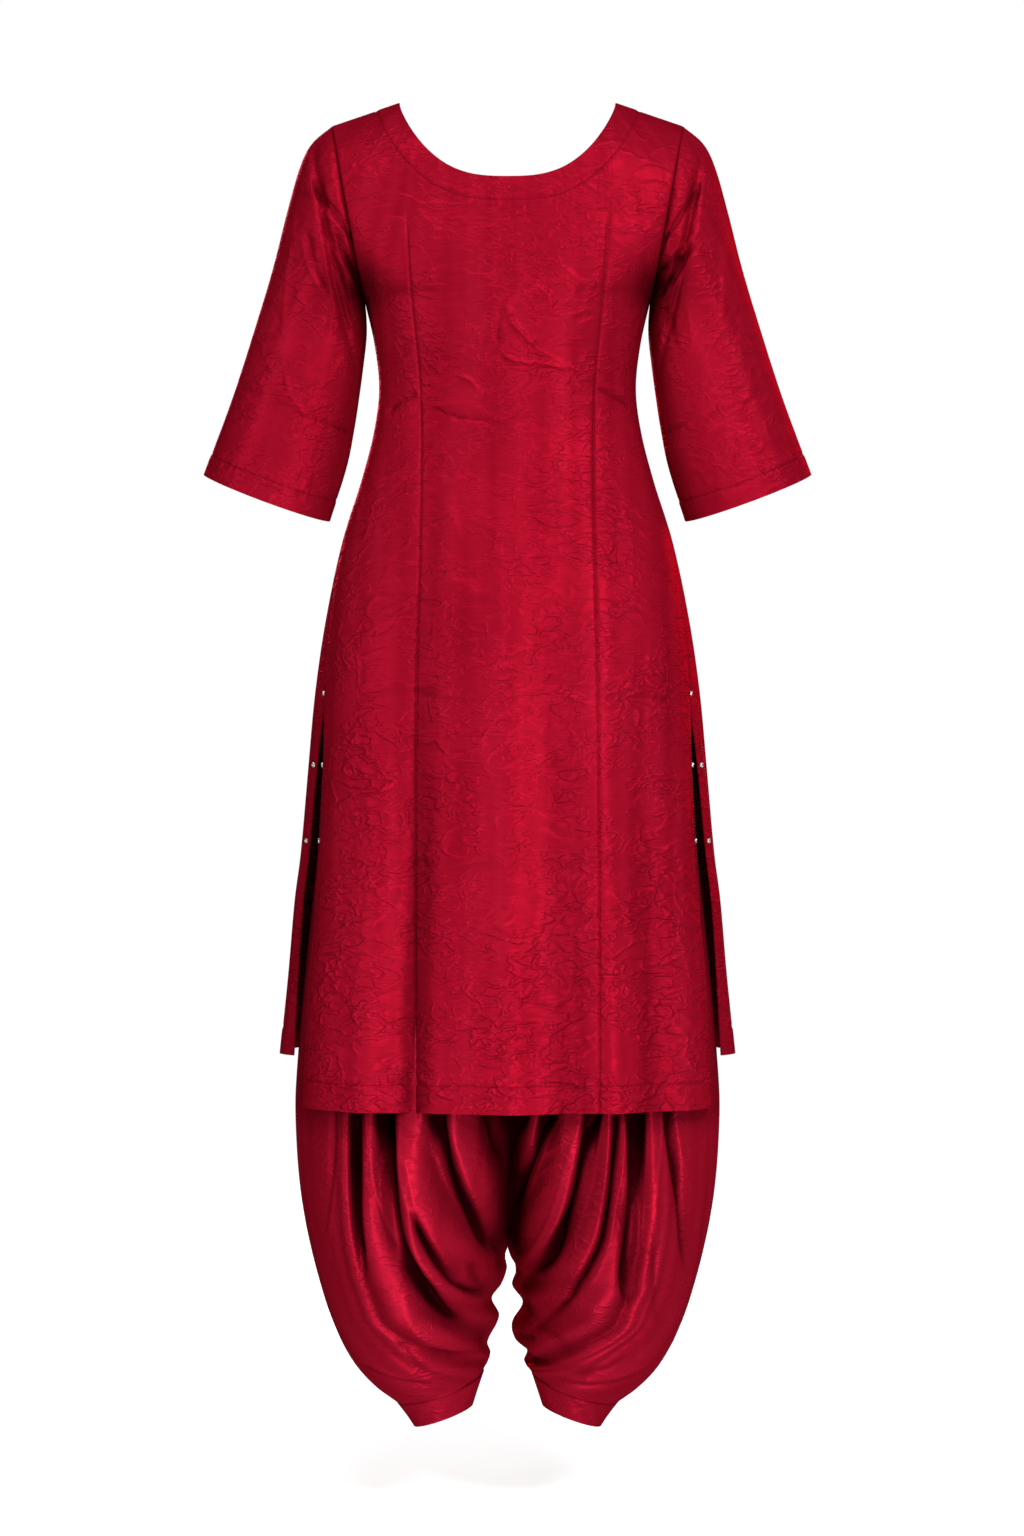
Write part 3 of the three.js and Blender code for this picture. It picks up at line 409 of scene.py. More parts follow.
def shell(name, points, side, thickness=0.9, wrap=False, material=None, lining=None, seam=None, painted_shade=None):
    """A closed sheet of cloth from a grid of outer points: the inner face is the outer one moved in along
    its normals, and narrow rims join their edges. Where a lining grid is given, the inner face follows
    every second point of that instead, a little further in. The UV map measures the cloth in metres,
    across and down. seam is each point's distance in from the stitching, and painted_shade the shade
    painted on each point, 0 to 1, deepest in a fold, or below 0 for a painted highlight on a ridge."""
    rows, cols = points.shape[:2]
    step = 1 if lining is None else 2
    if lining is None:
        lining = points - normals_of(points, side, wrap) * thickness
    else:
        i, j = np.arange(rows)[:, None], np.arange(cols)[None, :]
        rim = np.minimum(i, rows - 1 - i)
        rim = rim if wrap else np.minimum(rim, np.minimum(j, cols - 1 - j))
        further = thickness + LINING_CLEAR * smoothstep(rim / 6)
        lining = lining - normals_of(lining, side, wrap) * further[..., None]
    lining = lining[::step, ::step]
    verts = np.concatenate([points.reshape(-1, 3), lining.reshape(-1, 3)]) / 1000
    few = lining.shape[1]
    faces = [quads(rows, cols, wrap), quads(len(lining), few, wrap, rows * cols)[:, ::-1]]
    place = np.arange(rows * cols).reshape(rows, cols)
    inner = rows * cols + np.arange(lining.shape[0] * few).reshape(-1, few)
    edges = [(place[0], inner[0], 1), (place[-1], inner[-1], -1)]
    if not wrap:
        edges += [(place[:, 0], inner[:, 0], -1), (place[:, -1], inner[:, -1], 1)]
    for over, under, turn in edges:
        if wrap:
            over, under = np.append(over, over[0]), np.append(under, under[0])
        rim = [over[:-1:step], under[:-1], under[1:], over[step::step]] + ([over[1::2]] if step == 2 else [])
        faces.append(np.stack(rim, -1)[:, ::turn])
    if side < 0:
        faces = [f[:, ::-1] for f in faces]
    corners = np.concatenate([f.ravel() for f in faces])
    sizes = np.concatenate([np.full(len(f), f.shape[1]) for f in faces])
    u, v = run_along(points, 1), run_along(points, 0)
    uv = np.stack([u - u[:, cols // 2][:, None], v], -1) / 1000
    uv = np.concatenate([uv.reshape(-1, 2), uv[::step, ::step].reshape(-1, 2)])
    mesh = bpy.data.meshes.new(name)
    mesh.vertices.add(len(verts))
    mesh.vertices.foreach_set("co", verts.astype(np.float32).ravel())
    mesh.loops.add(len(corners))
    mesh.loops.foreach_set("vertex_index", corners.astype(np.int32))
    mesh.polygons.add(len(sizes))
    mesh.polygons.foreach_set("loop_start", (np.cumsum(sizes) - sizes).astype(np.int32))
    mesh.update(calc_edges=True)
    layer = mesh.uv_layers.new(name="cloth")
    layer.uv.foreach_set("vector", uv[corners].astype(np.float32).ravel())
    for kind, usual, grid in (("seam", 99.0, seam), ("painted_shade", 0.0, painted_shade)):
        grid = np.full((rows, cols), usual) if grid is None else grid
        tag = mesh.attributes.new(kind, "FLOAT", "POINT")
        both = np.concatenate([grid.ravel(), grid[::step, ::step].ravel()])
        tag.data.foreach_set("value", both.astype(np.float32))
    mesh.shade_smooth()
    mesh.set_sharp_from_angle(angle=math.radians(55))
    mesh.materials.append(material)
    piece = placed(name, mesh)
    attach(piece, "root")
    return piece


SILK = {"deep": (0.21, 0.0014, 0.0095), "mid": (0.345, 0.0042, 0.0190), "bright": (0.46, 0.0085, 0.032)}
BUMP = {
    "facet": 7e-4, "broad": 14e-4, "fine": 12e-4, "slub": 8e-5, "grain": 4e-5, "pucker": 16e-4, "line": 3e-4,
}
# Share of the colour taken away by the painted shade at its deepest; below 0 it paints a highlight.
PAINTED_FOLD_SHADE = 0.9
# Tone shares: painted_crest_highlight is a painted highlight along the crumple's raised lines, and line a
# painted shade along the stitching.
TONE = {"slow": 0.24, "streak": 0.42, "slub": 0.34, "grain": 0.1, "painted_crest_highlight": 0.04, "line": 0.10, "base": 0.08}


def silk_cloth(name, crumple, metal, smooth, lift=0.0):
    """Shot silk. Its bump, in metres, adds weft slubs and grain, a crumple of small facets (the squared
    distance to the nearest of scattered points), thin raised lines where noise crosses its middle value,
    fainter high up, and puckers across the stitching. Its tone adds the slubs, grain and slow streaks down
    the cloth, a painted highlight along the raised lines and a painted shade along the stitching line, and
    painted shade darkens it in the folds, with a painted highlight on ridges. metal and smooth are its
    metallic share and lowest roughness, and lift brightens the whole tone, a painted brightening that
    stands in for light."""
    material, shader = finish_of(
        name, Metallic=metal, IOR=1.3, Specular_IOR_Level=0.0, Specular_Tint=(1.0, 0.12, 0.20, 1),
    )
    start = Thread(material.node_tree)
    place = start.node("ShaderNodeTexCoord", "Object")
    cloth = start.node("ShaderNodeTexCoord", "UV")

    def noise(coordinate, scale, detail=2.0, distortion=0.0, stretch=(1, 1, 1), shift=(0, 0, 0)):
        mapping = {"Vector": coordinate, "Scale": stretch, "Location": shift}
        stretched = start.node("ShaderNodeMapping", 0, mapping)
        look = {"Scale": scale, "Detail": detail, "Roughness": 0.5, "Distortion": distortion}
        return start.node("ShaderNodeTexNoise", 0, {"Vector": stretched, **look})

    def crests(scale, distortion, sharp, stretch, shift=(0, 0, 0)):
        off = noise(place, scale, 1.0, distortion, stretch, shift) * 2 - 1
        return (1 - off * off) ** sharp

    def patches(scale, low, high, shift=(0, 0, 0)):
        value = noise(place, scale, 1.0, 0.0, (1, 1, 1), shift)
        return start.node("ShaderNodeMapRange", 0, {"Value": value, 1: low, 2: high})

    def facets(scale, stretch):
        shaking = {"Vector": place, "Scale": scale * 0.6, "Detail": 2.0}
        shaken = start.node("ShaderNodeTexNoise", "Color", shaking)
        shift = {0: shaken, 1: (0.7 / scale,) * 3, 2: place}
        moved = start.node("ShaderNodeVectorMath", 0, shift, operation="MULTIPLY_ADD")
        moved = start.node("ShaderNodeMapping", 0, {"Vector": moved, "Scale": stretch})
        near = start.node("ShaderNodeTexVoronoi", "Distance", {"Vector": moved, "Scale": scale})
        return near * near

    slow = noise(place, 7.0, 2.0)
    facet = facets(62.0, (1.0, 1.0, 1.8)) * patches(13.0, 0.36, 0.60)
    broad = crests(25.0, 0.5, 120.0, (1.0, 1.0, 1.8)) * patches(17.0, 0.40, 0.58)
    fine = crests(58.0, 0.6, 80.0, (1.0, 1.0, 1.9), (3, 1, 2)) * patches(23.0, 0.38, 0.58, (5, 2, 1))
    slub = noise(cloth, 1.0, 3.0, 0.0, (38.0, 950.0, 1.0))
    grain = noise(cloth, 1.0, 2.0, 0.0, (1500.0, 420.0, 1.0))
    seam = start.node("ShaderNodeAttribute", "Fac", attribute_name="seam")
    by_seam, line = (2.718 ** (seam * seam * -steep) for steep in (0.018, 1.1))
    pucker = noise(cloth, 1.0, 1.0, 0.0, (125.0, 16.0, 1.0)) * by_seam
    height_up = start.node("ShaderNodeSeparateXYZ", "Z", {"Vector": place})
    lower = start.node("ShaderNodeMapRange", 0, {"Value": height_up, 1: -0.9, 2: -0.35, 3: 1.0, 4: 0.5})
    streak = noise(cloth, 1.0, 1.0, 0.0, (48.0, 2.2, 1.0))
    height = (facet * BUMP["facet"] + broad * BUMP["broad"] + fine * BUMP["fine"]) * lower * crumple
    height = height + slub * BUMP["slub"] + grain * BUMP["grain"]
    height = height + pucker * BUMP["pucker"] - line * BUMP["line"]
    bump = start.node("ShaderNodeBump", "Normal", {"Height": height, "Distance": 1.0, "Strength": 1.0})
    # Less line: a painted shade along the stitching groove.
    tone = slow * TONE["slow"] + streak * TONE["streak"] + slub * TONE["slub"] + grain * TONE["grain"]
    tone = tone + (broad + fine) * TONE["painted_crest_highlight"] * crumple - line * TONE["line"] - TONE["base"] + lift
    colour = start.node(
        "ShaderNodeValToRGB", 0, {"Fac": tone},
        stops=((0.18, SILK["deep"]), (0.50, SILK["mid"]), (0.82, SILK["bright"])),
    )
    # Painted shade: the colour darkens by the painted_shade attribute in folds, grooves and under the arms,
    # and lightens as a painted highlight where it is below 0 on ridges.
    painted_shading = 1 - PAINTED_FOLD_SHADE * start.node("ShaderNodeAttribute", "Fac", attribute_name="painted_shade")
    colour = start.node("ShaderNodeVectorMath", 0, {0: colour, "Scale": painted_shading}, operation="SCALE")
    gloss = smooth + 0.08 * slow + 0.06 * slub
    for value, socket in ((colour, "Base Color"), (gloss, "Roughness"), (bump, "Normal")):
        material.node_tree.links.new(value.socket, shader.inputs[socket])
    return material


crisp_silk = silk_cloth("crisp_silk", 1.0, 0.30, 0.38)

# Each crease: its height, half width, and the points (x, z) that it runs through.
BACK_CREASES = [
    (-3.4, 2.5, [(-124.1, -313.1), (-107.2, -304.2), (-87.2, -295.3)]),
    (-3.8, 2.2, [(88.2, -289.3), (108.1, -298.2), (127.1, -306.2)]),
    (-3.5, 2.2, [(-85.2, -306.2), (-71.3, -313.1), (-51.3, -321.1), (-29.4, -324), (-8.5, -328),
        (1.5, -336.1)]),
    (4.6, 2.5, [(3.5, -197.8), (1.5, -217.2), (6.5, -231.7), (18.4, -243.4), (35.3, -257), (54.3, -266.8),
        (74.2, -276.6), (85.2, -288.3)]),
    (3.8, 2.2, [(-10.4, -250.2), (-3.5, -260), (6.5, -265.8), (23.4, -267.8), (42.3, -269.7),
        (66.2, -275.6)]),
    (2.8, 2.2, [(18.4, -200.7), (23.3, -194.8), (31.2, -194.8), (40.2, -201.6), (43.2, -212.3),
        (41.2, -220.1)]),
    (3.1, 2.2, [(-55.3, -276.6), (-42.3, -282.4), (-34.4, -286.4), (-27.4, -300.2)]),
    (2.2, 2.2, [(-71.2, -276.6), (-61.2, -266.8)]),
    (-2.4, 2.2, [(-4.5, -207.5), (-9.4, -236.6), (-7.5, -256.1)]),
    (-1.6, 2.8, [(-163.7, -607.5), (-129.5, -599.7), (-95.3, -595.8), (-66, -602.6), (-31.8, -606.5),
        (-7.3, -605.6)]),
    (3.7, 2.5, [(39.6, -593.8), (57.2, -598.7), (74.8, -605.6), (87.5, -609.5)]),
    (-1.8, 2.8, [(-7.3, -605.6), (22, -599.7), (44.5, -597.7)]),
    (-1.6, 2.8, [(90.4, -607.5), (129.5, -602.6), (178.3, -606.5)]),
    (-1.3, 3.4, [(-168.3, -769.5), (-124.4, -765.6), (-85.4, -763.7), (-36.6, -768.6), (12.2, -769.5)]),
    (-1.3, 3.4, [(31.7, -765.6), (90.2, -763.7), (139, -768.6), (182.9, -767.6)]),
    (1.8, 2.2, [(-17.1, -576.2), (-9.3, -570.3), (-2.4, -566.3)]),
    (1.6, 2.2, [(31.7, -636.8), (36.6, -631), (41.5, -625.1)]),
    (1.4, 2.8, [(-84.5, -595.8), (-73.9, -546.7), (-70.2, -507.1)]),
    (1.7, 2.2, [(-56.5, -492.2), (-36.8, -499.2), (-15.2, -497.2)]),
    (1.6, 2.2, [(12.3, -467.1), (36.9, -475.1), (51.6, -487.2)]),
    (1.4, 2.2, [(-66.9, -406.4), (-51.9, -426.7), (-44.9, -452)]),
    (1.6, 2.2, [(52.2, -375.7), (67, -396.2), (81.8, -406.4)]),
    (-1.6, 2.2, [(93.3, -589.9), (97.2, -599.7)]),
    (-1.6, 2.2, [(101.2, -587.9), (103.1, -595.8)]),
]
# Shares of a whole that never fall into step: the small creases' places, slants and sizes go on by them.
STEPS = (0.7548777, 0.5698403, 0.6180340, 0.4142136, 0.3247180)


def scattered(zones):
    """Small creases spread over each zone of the cloth (from x, to x, from z, to z, count, length, slant,
    height, width). Places, slants, lengths and bows all step on by fixed shares, so that they are uneven
    but never gather."""
    rows = []
    for n, (x0, x1, z0, z1, count, length, slant, high, width) in enumerate(zones):
        k = np.arange(count) + 0.37 * n
        a, b, c, d, e = (np.mod(0.5 + k * share, 1) for share in STEPS)
        x, z, turn = x0 + (x1 - x0) * a, z0 + (z1 - z0) * b, np.radians(slant * (2 * c - 1))
        half, tall = length * (0.28 + 0.44 * d), high * (0.5 + e) * np.where(np.mod(k, 4) < 1, -1, 1)
        dx, dz, bow = half * np.cos(turn), half * np.sin(turn), half * (e - 0.5) * 0.9
        line = np.stack([x - dx, z - dz, x - dz / dx * bow * 0.2, z + bow, x + dx, z + dz], -1)
        rows += zip(tall, width * (0.7 + 0.6 * d), line.reshape(-1, 3, 2))
    return rows


BACK_CRUMPLE = [
    (-196, 196, -984, -850, 62, 46, 34, 0.9, 2.0), (-188, 188, -850, -610, 74, 34, 58, 0.6, 1.9),
    (-172, 172, -600, -330, 60, 32, 62, 0.6, 1.9), (-124, 124, -330, -236, 20, 44, 28, 0.9, 2.3),
    (-116, 116, -232, -96, 30, 32, 66, 0.6, 1.9),
]
FACING_WIDTH = {"hem": 27, "slit": 18, "neck": 24}


def seam_distance(points, face):
    """How far in from the stitching each point is: the least of its height above the hem's stitches, its
    distance along the row from the slit's, and its distance from the neckline's. Negative on the
    turned-in bands."""
    x, z = points[..., 0], points[..., 2]
    run = run_along(points, 1)
    from_edge = np.minimum(run, run[:, -1:] - run)
    slit = from_edge - FACING_WIDTH["slit"] + np.maximum(0, z - SLIT_TOP)
    hem = z - HEM[face] - FACING_WIDTH["hem"]
    neck_x = NECK["x"] * np.sin(np.pi * np.linspace(-0.5, 0.5, 121))
    neck_z = neckline(neck_x, face)
    high = z > NECK["z"] - SCOOP[face] - 60
    neck = np.full_like(x, 99.0)
    neck[high] = np.hypot(x[high][:, None] - neck_x, z[high][:, None] - neck_z).min(1) - FACING_WIDTH["neck"]
    return np.minimum(np.minimum(slit, hem), neck)


def painted_underarm_shade(points, reach=24):
    """Painted shade round the point where sleeve and side seam meet, under the arm: a bell of the distance.
    """
    off = np.hypot(np.abs(points[..., 0]) - UNDERARM["x"] - 2, points[..., 2] - UNDERARM["z"] - 8)
    return 0.8 * bell(off / reach)


def stitched_band(seam, proud, groove):
    """Height of the turned-in band, a second layer up to the stitching, less the stitches' groove."""
    return proud * smoothstep(0.5 - seam / 3) - groove * bell(seam / 1.7)


def steadied(seam):
    """Share of a crease's height that is left near the stitching, which holds the cloth flat."""
    return 0.25 + 0.75 * smoothstep(np.abs(seam) / 5)


def panel(face, s, z_edge, creases):
    """A finished panel: the outer points with creases and stitched bands, its plain surface, the distance
    from the stitching, and the shade painted on each point: painted shade in the troughs of creases and
    flutes, in the side seams, at the stitches, along the darts and under the arms, and a painted highlight
    on crease ridges. The side seams are pressed in a little."""
    plain = panel_points(s, z_edge, face)
    side = 1 if face == "back" else -1
    normals = normals_of(plain, side)
    seam = seam_distance(plain, face)
    raised = creased(plain, normals, creases, -side) * (1 - smoothstep((np.abs(s) - 0.95) / 0.05))
    points = plain + normals * (raised * steadied(seam) + stitched_band(seam, 0.55, 0.75))[..., None]
    pressed = bell((1 - np.abs(s)) / 0.008)[None, :] * (z_edge > SLIT_TOP)[:, None]
    # Painted shade in crease troughs, the pressed side seams, the stitching, the flutes' troughs, along the
    # darts and under the arms; a painted highlight on crease ridges.
    painted_shade = -0.10 * np.clip(raised, -3, 3) + 0.55 * pressed + 0.12 * bell(seam / 1.0)
    painted_shade += np.clip(-0.055 * relief(plain[..., 0], plain[..., 2], face, 0), -0.14, 0.5)
    aside = np.abs(plain[..., 0]) - along(DART, "x", plain[..., 2])
    painted_shade += 0.30 * bell(aside / 1.2) * smoothstep((DART_OPENS - plain[..., 2]) / 200) + painted_underarm_shade(plain)
    below_arm = 1 - smoothstep((z_edge - UNDERARM["z"] + 20) / 20)
    pressed = SIDE_SEAM_DEPTH * pressed * below_arm[:, None]
    for grid in (points, plain):
        grid -= normals * pressed[..., None]
        grid[..., 1] -= side * SEAM_GAP / 2 * (np.abs(s) == 1)[None, :]
    return points, plain, seam, np.clip(painted_shade, -0.35, 1)


def crossing(points, normals, seam, last=False):
    """Where the stitching crosses each column of a grid: between its first, or last, two neighbours whose
    distances from the stitching differ in sign. Gives places and normals."""
    change = (seam[:-1] < 0) != (seam[1:] < 0)
    k = len(change) - 1 - change[::-1].argmax(0) if last else change.argmax(0)
    j = np.flatnonzero(change.any(0))
    k = k[j]
    t = (seam[k, j] / (seam[k, j] - seam[k + 1, j]))[:, None]
    return points[k, j] * (1 - t) + points[k + 1, j] * t, normals[k, j]


thread, shader = finish_of("thread", Metallic=0.2, IOR=1.3, Specular_IOR_Level=0.12)
start = Thread(thread.node_tree)
place = start.node("ShaderNodeTexCoord", "Object")
twist = start.node("ShaderNodeTexNoise", 0, {"Vector": place, "Scale": 1400.0})
shades = (0.3, (0.16, 0.0006, 0.006)), (0.7, (0.42, 0.006, 0.03))
shade = start.node("ShaderNodeValToRGB", 0, {"Fac": twist}, stops=shades)
thread.node_tree.links.new(shade.socket, shader.inputs["Base Color"])
thread.node_tree.links.new((0.4 + 0.2 * twist).socket, shader.inputs["Roughness"])
STITCH = {"pitch": 3.2, "length": 2.3, "radius": 0.3}


def read_at(grid, gone, place):
    """The values of a line's points at distances along it, straight between its own."""
    return np.stack([np.interp(place, gone, grid[:, k]) for k in range(3)], -1)


def stitches(name, lines):
    """Rows of stitches along lines of (places, normals): each stitch is a small square-sided capsule,
    four rings of four points, half set into the cloth."""
    verts, faces, made = [], [], 0
    for places, normals in lines:
        gone = run_along(places)
        at = np.arange(STITCH["pitch"], gone[-1] - STITCH["pitch"] / 2, STITCH["pitch"])
        middle, up = read_at(places, gone, at), read_at(normals, gone, at)
        ahead = unit(read_at(places, gone, at + 1) - read_at(places, gone, at - 1))
        aside = unit(np.cross(ahead, up))
        up = np.cross(aside, ahead)
        reach = np.array([-0.5, -0.34, 0.34, 0.5]) * STITCH["length"]
        along_it = reach[None, :, None, None] * ahead[:, None, None]
        radius = (np.array([0.35, 1, 1, 0.35]) * STITCH["radius"])[None, :, None, None]
        turn = (np.arange(4) + 0.5)[None, None, :, None] * np.pi / 2
        ring = radius * (np.cos(turn) * aside[:, None, None] + np.sin(turn) * up[:, None, None])
        verts.append((middle[:, None, None] + up[:, None, None] * 0.12 + along_it + ring).reshape(-1, 3))
        one = np.concatenate([quads(4, 4, wrap=True), [[3, 2, 1, 0], [12, 13, 14, 15]]])
        first = made + 16 * np.arange(len(at))
        faces.append((first[:, None, None] + one).reshape(-1, 4))
        made += 16 * len(at)
    verts, faces = np.concatenate(verts) / 1000, np.concatenate(faces)
    mesh = bpy.data.meshes.new(name)
    mesh.from_pydata(verts.tolist(), [], faces.tolist())
    mesh.materials.append(thread)
    piece = placed(name, mesh)
    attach(piece, "root")
    return piece


def panel_stitches(name, points, seam, side):
    """The stitching of a panel's neck, hem and two slits."""
    normals = normals_of(points, side)
    sideways = np.swapaxes(points, 0, 1), np.swapaxes(normals, 0, 1), seam.T
    low, upper = points[:, 0, 2] < SLIT_TOP - 4, points[:, 0, 2] > UNDERARM["z"]
    above_hem = low & (seam[:, len(seam[0]) // 2] > 0)
    lines = [crossing(points[rows], normals[rows], seam[rows]) for rows in (low, upper)]
    slits = [grid[:, above_hem] for grid in sideways]
    lines += [crossing(*slits), crossing(*slits, last=True)]
    return stitches(name, lines)


across_back = spaced(
    -1, 1, 217,
    [(0.17, 0.2, 0.5), (-DART_COLUMN, 0.012, 4), (DART_COLUMN, 0.012, 4), (-1, 0.02, 2), (1, 0.02, 2)],
)
down_back = spaced(
    HEM["back"], SHOULDER["z"], 345,
    [(-982, 3, 2), (-1009, 4, 1), (-14, 10, 1), (-272, 52, 1.4), (-920, 60, 0.4), (-600, 12, 0.8)],
)
back_points, back_plain, back_seam, back_painted_shade = panel(
    "back", across_back, down_back, BACK_CREASES + scattered(BACK_CRUMPLE),
)
kameez_back = shell(
    "kameez_back_silk", back_points, 1, material=crisp_silk, lining=back_plain, seam=back_seam,
    painted_shade=back_painted_shade,
)
back_stitches = panel_stitches("kameez_back_stitching", back_points, back_seam, 1)
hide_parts("kameez_back")

# ---------------------------------------------------------------- kameez front
# The front panel, of the same silk, cut like the back with a deeper neck and a fuller chest. Below the
# slits it wraps back past the back panel's edges.
FRONT_CREASES = [
    (-1.6, 4.5, [(-126, -296), (-108, -306), (-90, -300)]),
    (1.6, 4.5, [(92, -292), (110, -300), (126, -312)]),
    (1.5, 5, [(-60, -330), (-24, -322), (16, -328), (58, -318)]),
    (-1.1, 5, [(-170, -600), (-110, -606), (-40, -598), (20, -604)]),
    (1.2, 5, [(30, -606), (90, -598), (168, -604)]),
    (-1.0, 6, [(-160, -770), (-70, -762), (30, -770), (150, -764)]),
    (1.2, 4, [(-40, -470), (-18, -480), (6, -478)]),
    (1.1, 4, [(44, -690), (58, -684), (80, -688)]),
]
FRONT_CRUMPLE = [
    (-200, 200, -940, -820, 52, 46, 34, 1.1, 3.0), (-190, 190, -820, -610, 46, 40, 58, 0.8, 3.0),
    (-172, 172, -600, -330, 44, 38, 62, 0.8, 3.0), (-110, 110, -300, -140, 22, 38, 50, 0.8, 3.0),
]
across_front = spaced(-1, 1, 171, [(-DART_COLUMN, 0.012, 3), (DART_COLUMN, 0.012, 3)])
down_front = spaced(HEM["front"], SHOULDER["z"], 261, [(-937, 3, 2)])
front_points, front_plain, front_seam, front_painted_shade = panel(
    "front", across_front, down_front, FRONT_CREASES + scattered(FRONT_CRUMPLE),
)
kameez_front = shell(
    "kameez_front_silk", front_points, -1, material=crisp_silk, lining=front_plain, seam=front_seam,
    painted_shade=front_painted_shade,
)
front_stitches = panel_stitches("kameez_front_stitching", front_points, front_seam, -1)
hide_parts("kameez_front")

# ---------------------------------------------------------------- sleeves
# Two flared three-quarter sleeves of the same silk, each a tube sewn into its armhole, with drag folds
# from the shoulder to the underarm and a hemmed mouth that hangs lower behind.
SLEEVE = columns(
    "at outX outZ inX inZ back front forward",
    (0, 179, -14, 146, -195, 70, 60, 0), (0.1, 200, -32, 144.5, -212, 68.5, 60.5, 0),
    (0.2, 212, -55, 144.5, -230, 66.5, 60, 1), (0.35, 226, -103, 147.5, -257, 62, 58, 3),
    (0.5, 241, -161, 152, -290, 58, 55, 5), (0.65, 260, -223, 157, -322, 55, 53, 7),
    (0.8, 282, -290, 165, -362, 52, 51, 9), (1, 312, -370, 183, -418, 50, 50, 11),
)
SLEEVE_HEM_TILT, SLEEVE_TUCK, SLEEVE_BAND = 8, 1.5, 22
SLEEVE_ROUND, SLEEVE_LONG = 62, 330
# Each fold: degrees round the sleeve, shares of the way down it, depth and width.
SLEEVE_FOLDS = [
    ((28, 128), (0.1, 0.26), 7, 9), ((58, 150), (0.13, 0.42), 6, 10), ((-35, -140), (0.12, 0.3), 6, 10),
]
OTHER = {"left": "right", "right": "left"}


def mirrored(creases):
    """The same creases on the other side of the middle."""
    return [(high, width, [(-x, z) for x, z in line]) for high, width, line in creases]


def sleeve_points(word, side, rows, cols):
    """Rings between an outer and an inner line: an ellipse whose top rolls over at the cap, with folds
    pressed in along slanting lines. The first ring takes the depth of the panels' armhole edges and is
    tucked in under them. Its creases are laid behind, and in front by mirroring the other sleeve's. Gives
    the outer points, the same before creasing, the distance from the hem's stitches, and the shade painted
    on each point: painted shade in folds, at the armhole seam and hem stitching, under the arm and on the
    inner side that faces the body, and a painted highlight on ridges.
    point lies."""
    at, turn = np.meshgrid(np.linspace(0, 1, rows) ** 1.15, np.arange(cols) * 360 / cols, indexing="ij")
    row = {name: along(SLEEVE, name, at) for name in SLEEVE}
    c, s = np.cos(np.radians(turn)), np.sin(np.radians(turn))
    centre = np.stack([(row["outX"] + row["inX"]) / 2, row["forward"], (row["outZ"] + row["inZ"]) / 2], -1)
    arm = np.stack([(row["outX"] - row["inX"]) / 2, 0 * at, (row["outZ"] - row["inZ"]) / 2], -1)
    roll = np.where(c > 0, 1 + (2 * ARMHOLE["roll"] - 1) * (1 - smoothstep(at / 0.3)), 1)
    reach = np.where(s > 0, -row["back"], row["front"]) * np.abs(s) ** roll
    lift = -SLEEVE_HEM_TILT * s * smoothstep((at - 0.5) / 0.5)
    points = centre + arm * c[..., None] + np.stack([0 * at, reach, lift], -1)
    inward = unit(centre - points)
    round_it, down = np.radians((turn + 180) % 360 - 180) * SLEEVE_ROUND, at * SLEEVE_LONG
    fold = np.zeros_like(at)
    for (t0, t1), (a0, a1), depth, width in SLEEVE_FOLDS:
        du, dv = math.radians(t1 - t0) * SLEEVE_ROUND, (a1 - a0) * SLEEVE_LONG
        pu, pv = round_it - math.radians(t0) * SLEEVE_ROUND, down - a0 * SLEEVE_LONG
        near = np.clip((pu * du + pv * dv) / (du * du + dv * dv), 0, 1)
        off = np.hypot(pu - near * du, pv - near * dv)
        fold += depth * bell(off / width) * np.sin(np.pi * np.minimum(1, 0.12 + near * 0.76))
    points = points + inward * (fold * smoothstep(at / 0.06))[..., None]
    x, y, z = points[0].T
    lower, roll_in = armhole_shares(x, z)
    seat = np.where(s[0] > 0, -ARMHOLE["back"], ARMHOLE["front"]) * lower * roll_in
    points[..., 1] += (seat - y) * (1 - smoothstep(at / 0.08))
    points[..., 1] *= armhole_dip(points[..., 2], at / 0.03)
    points[0, :, 0] -= SLEEVE_TUCK
    points[..., 0] *= side
    normals = normals_of(points, side, True)
    small = scattered(SLEEVE_CRUMPLE)
    small = small if side > 0 else mirrored(small)
    bend = creased(points, normals, SLEEVE_CREASES[word] + small, -1)
    bend = bend + creased(points, normals, mirrored(SLEEVE_CREASES[OTHER[word]]) + small, 1)
    seam = run_along(points[::-1])[::-1] - SLEEVE_BAND
    steady = smoothstep(at / 0.04) * steadied(seam)
    # Painted shade in the fold troughs, at the armhole seam and the hem stitching, and a painted highlight
    # on ridges.
    painted_shade = np.clip(-bend / 11, -0.3, 0.7) + 0.6 * bell(at / 0.007) + 0.2 * bell(seam / 1.0)
    painted_shade += painted_underarm_shade(points, 36)
    # Painted shade on the inner side of the sleeve, which faces the body.
    painted_shade += 0.28 * smoothstep((-c - 0.25) / 0.7)
    raised = (bend * steady + stitched_band(seam, 0.5, 0.7))[..., None]
    return points + normals * raised, points, seam, np.clip(painted_shade, -0.35, 1)


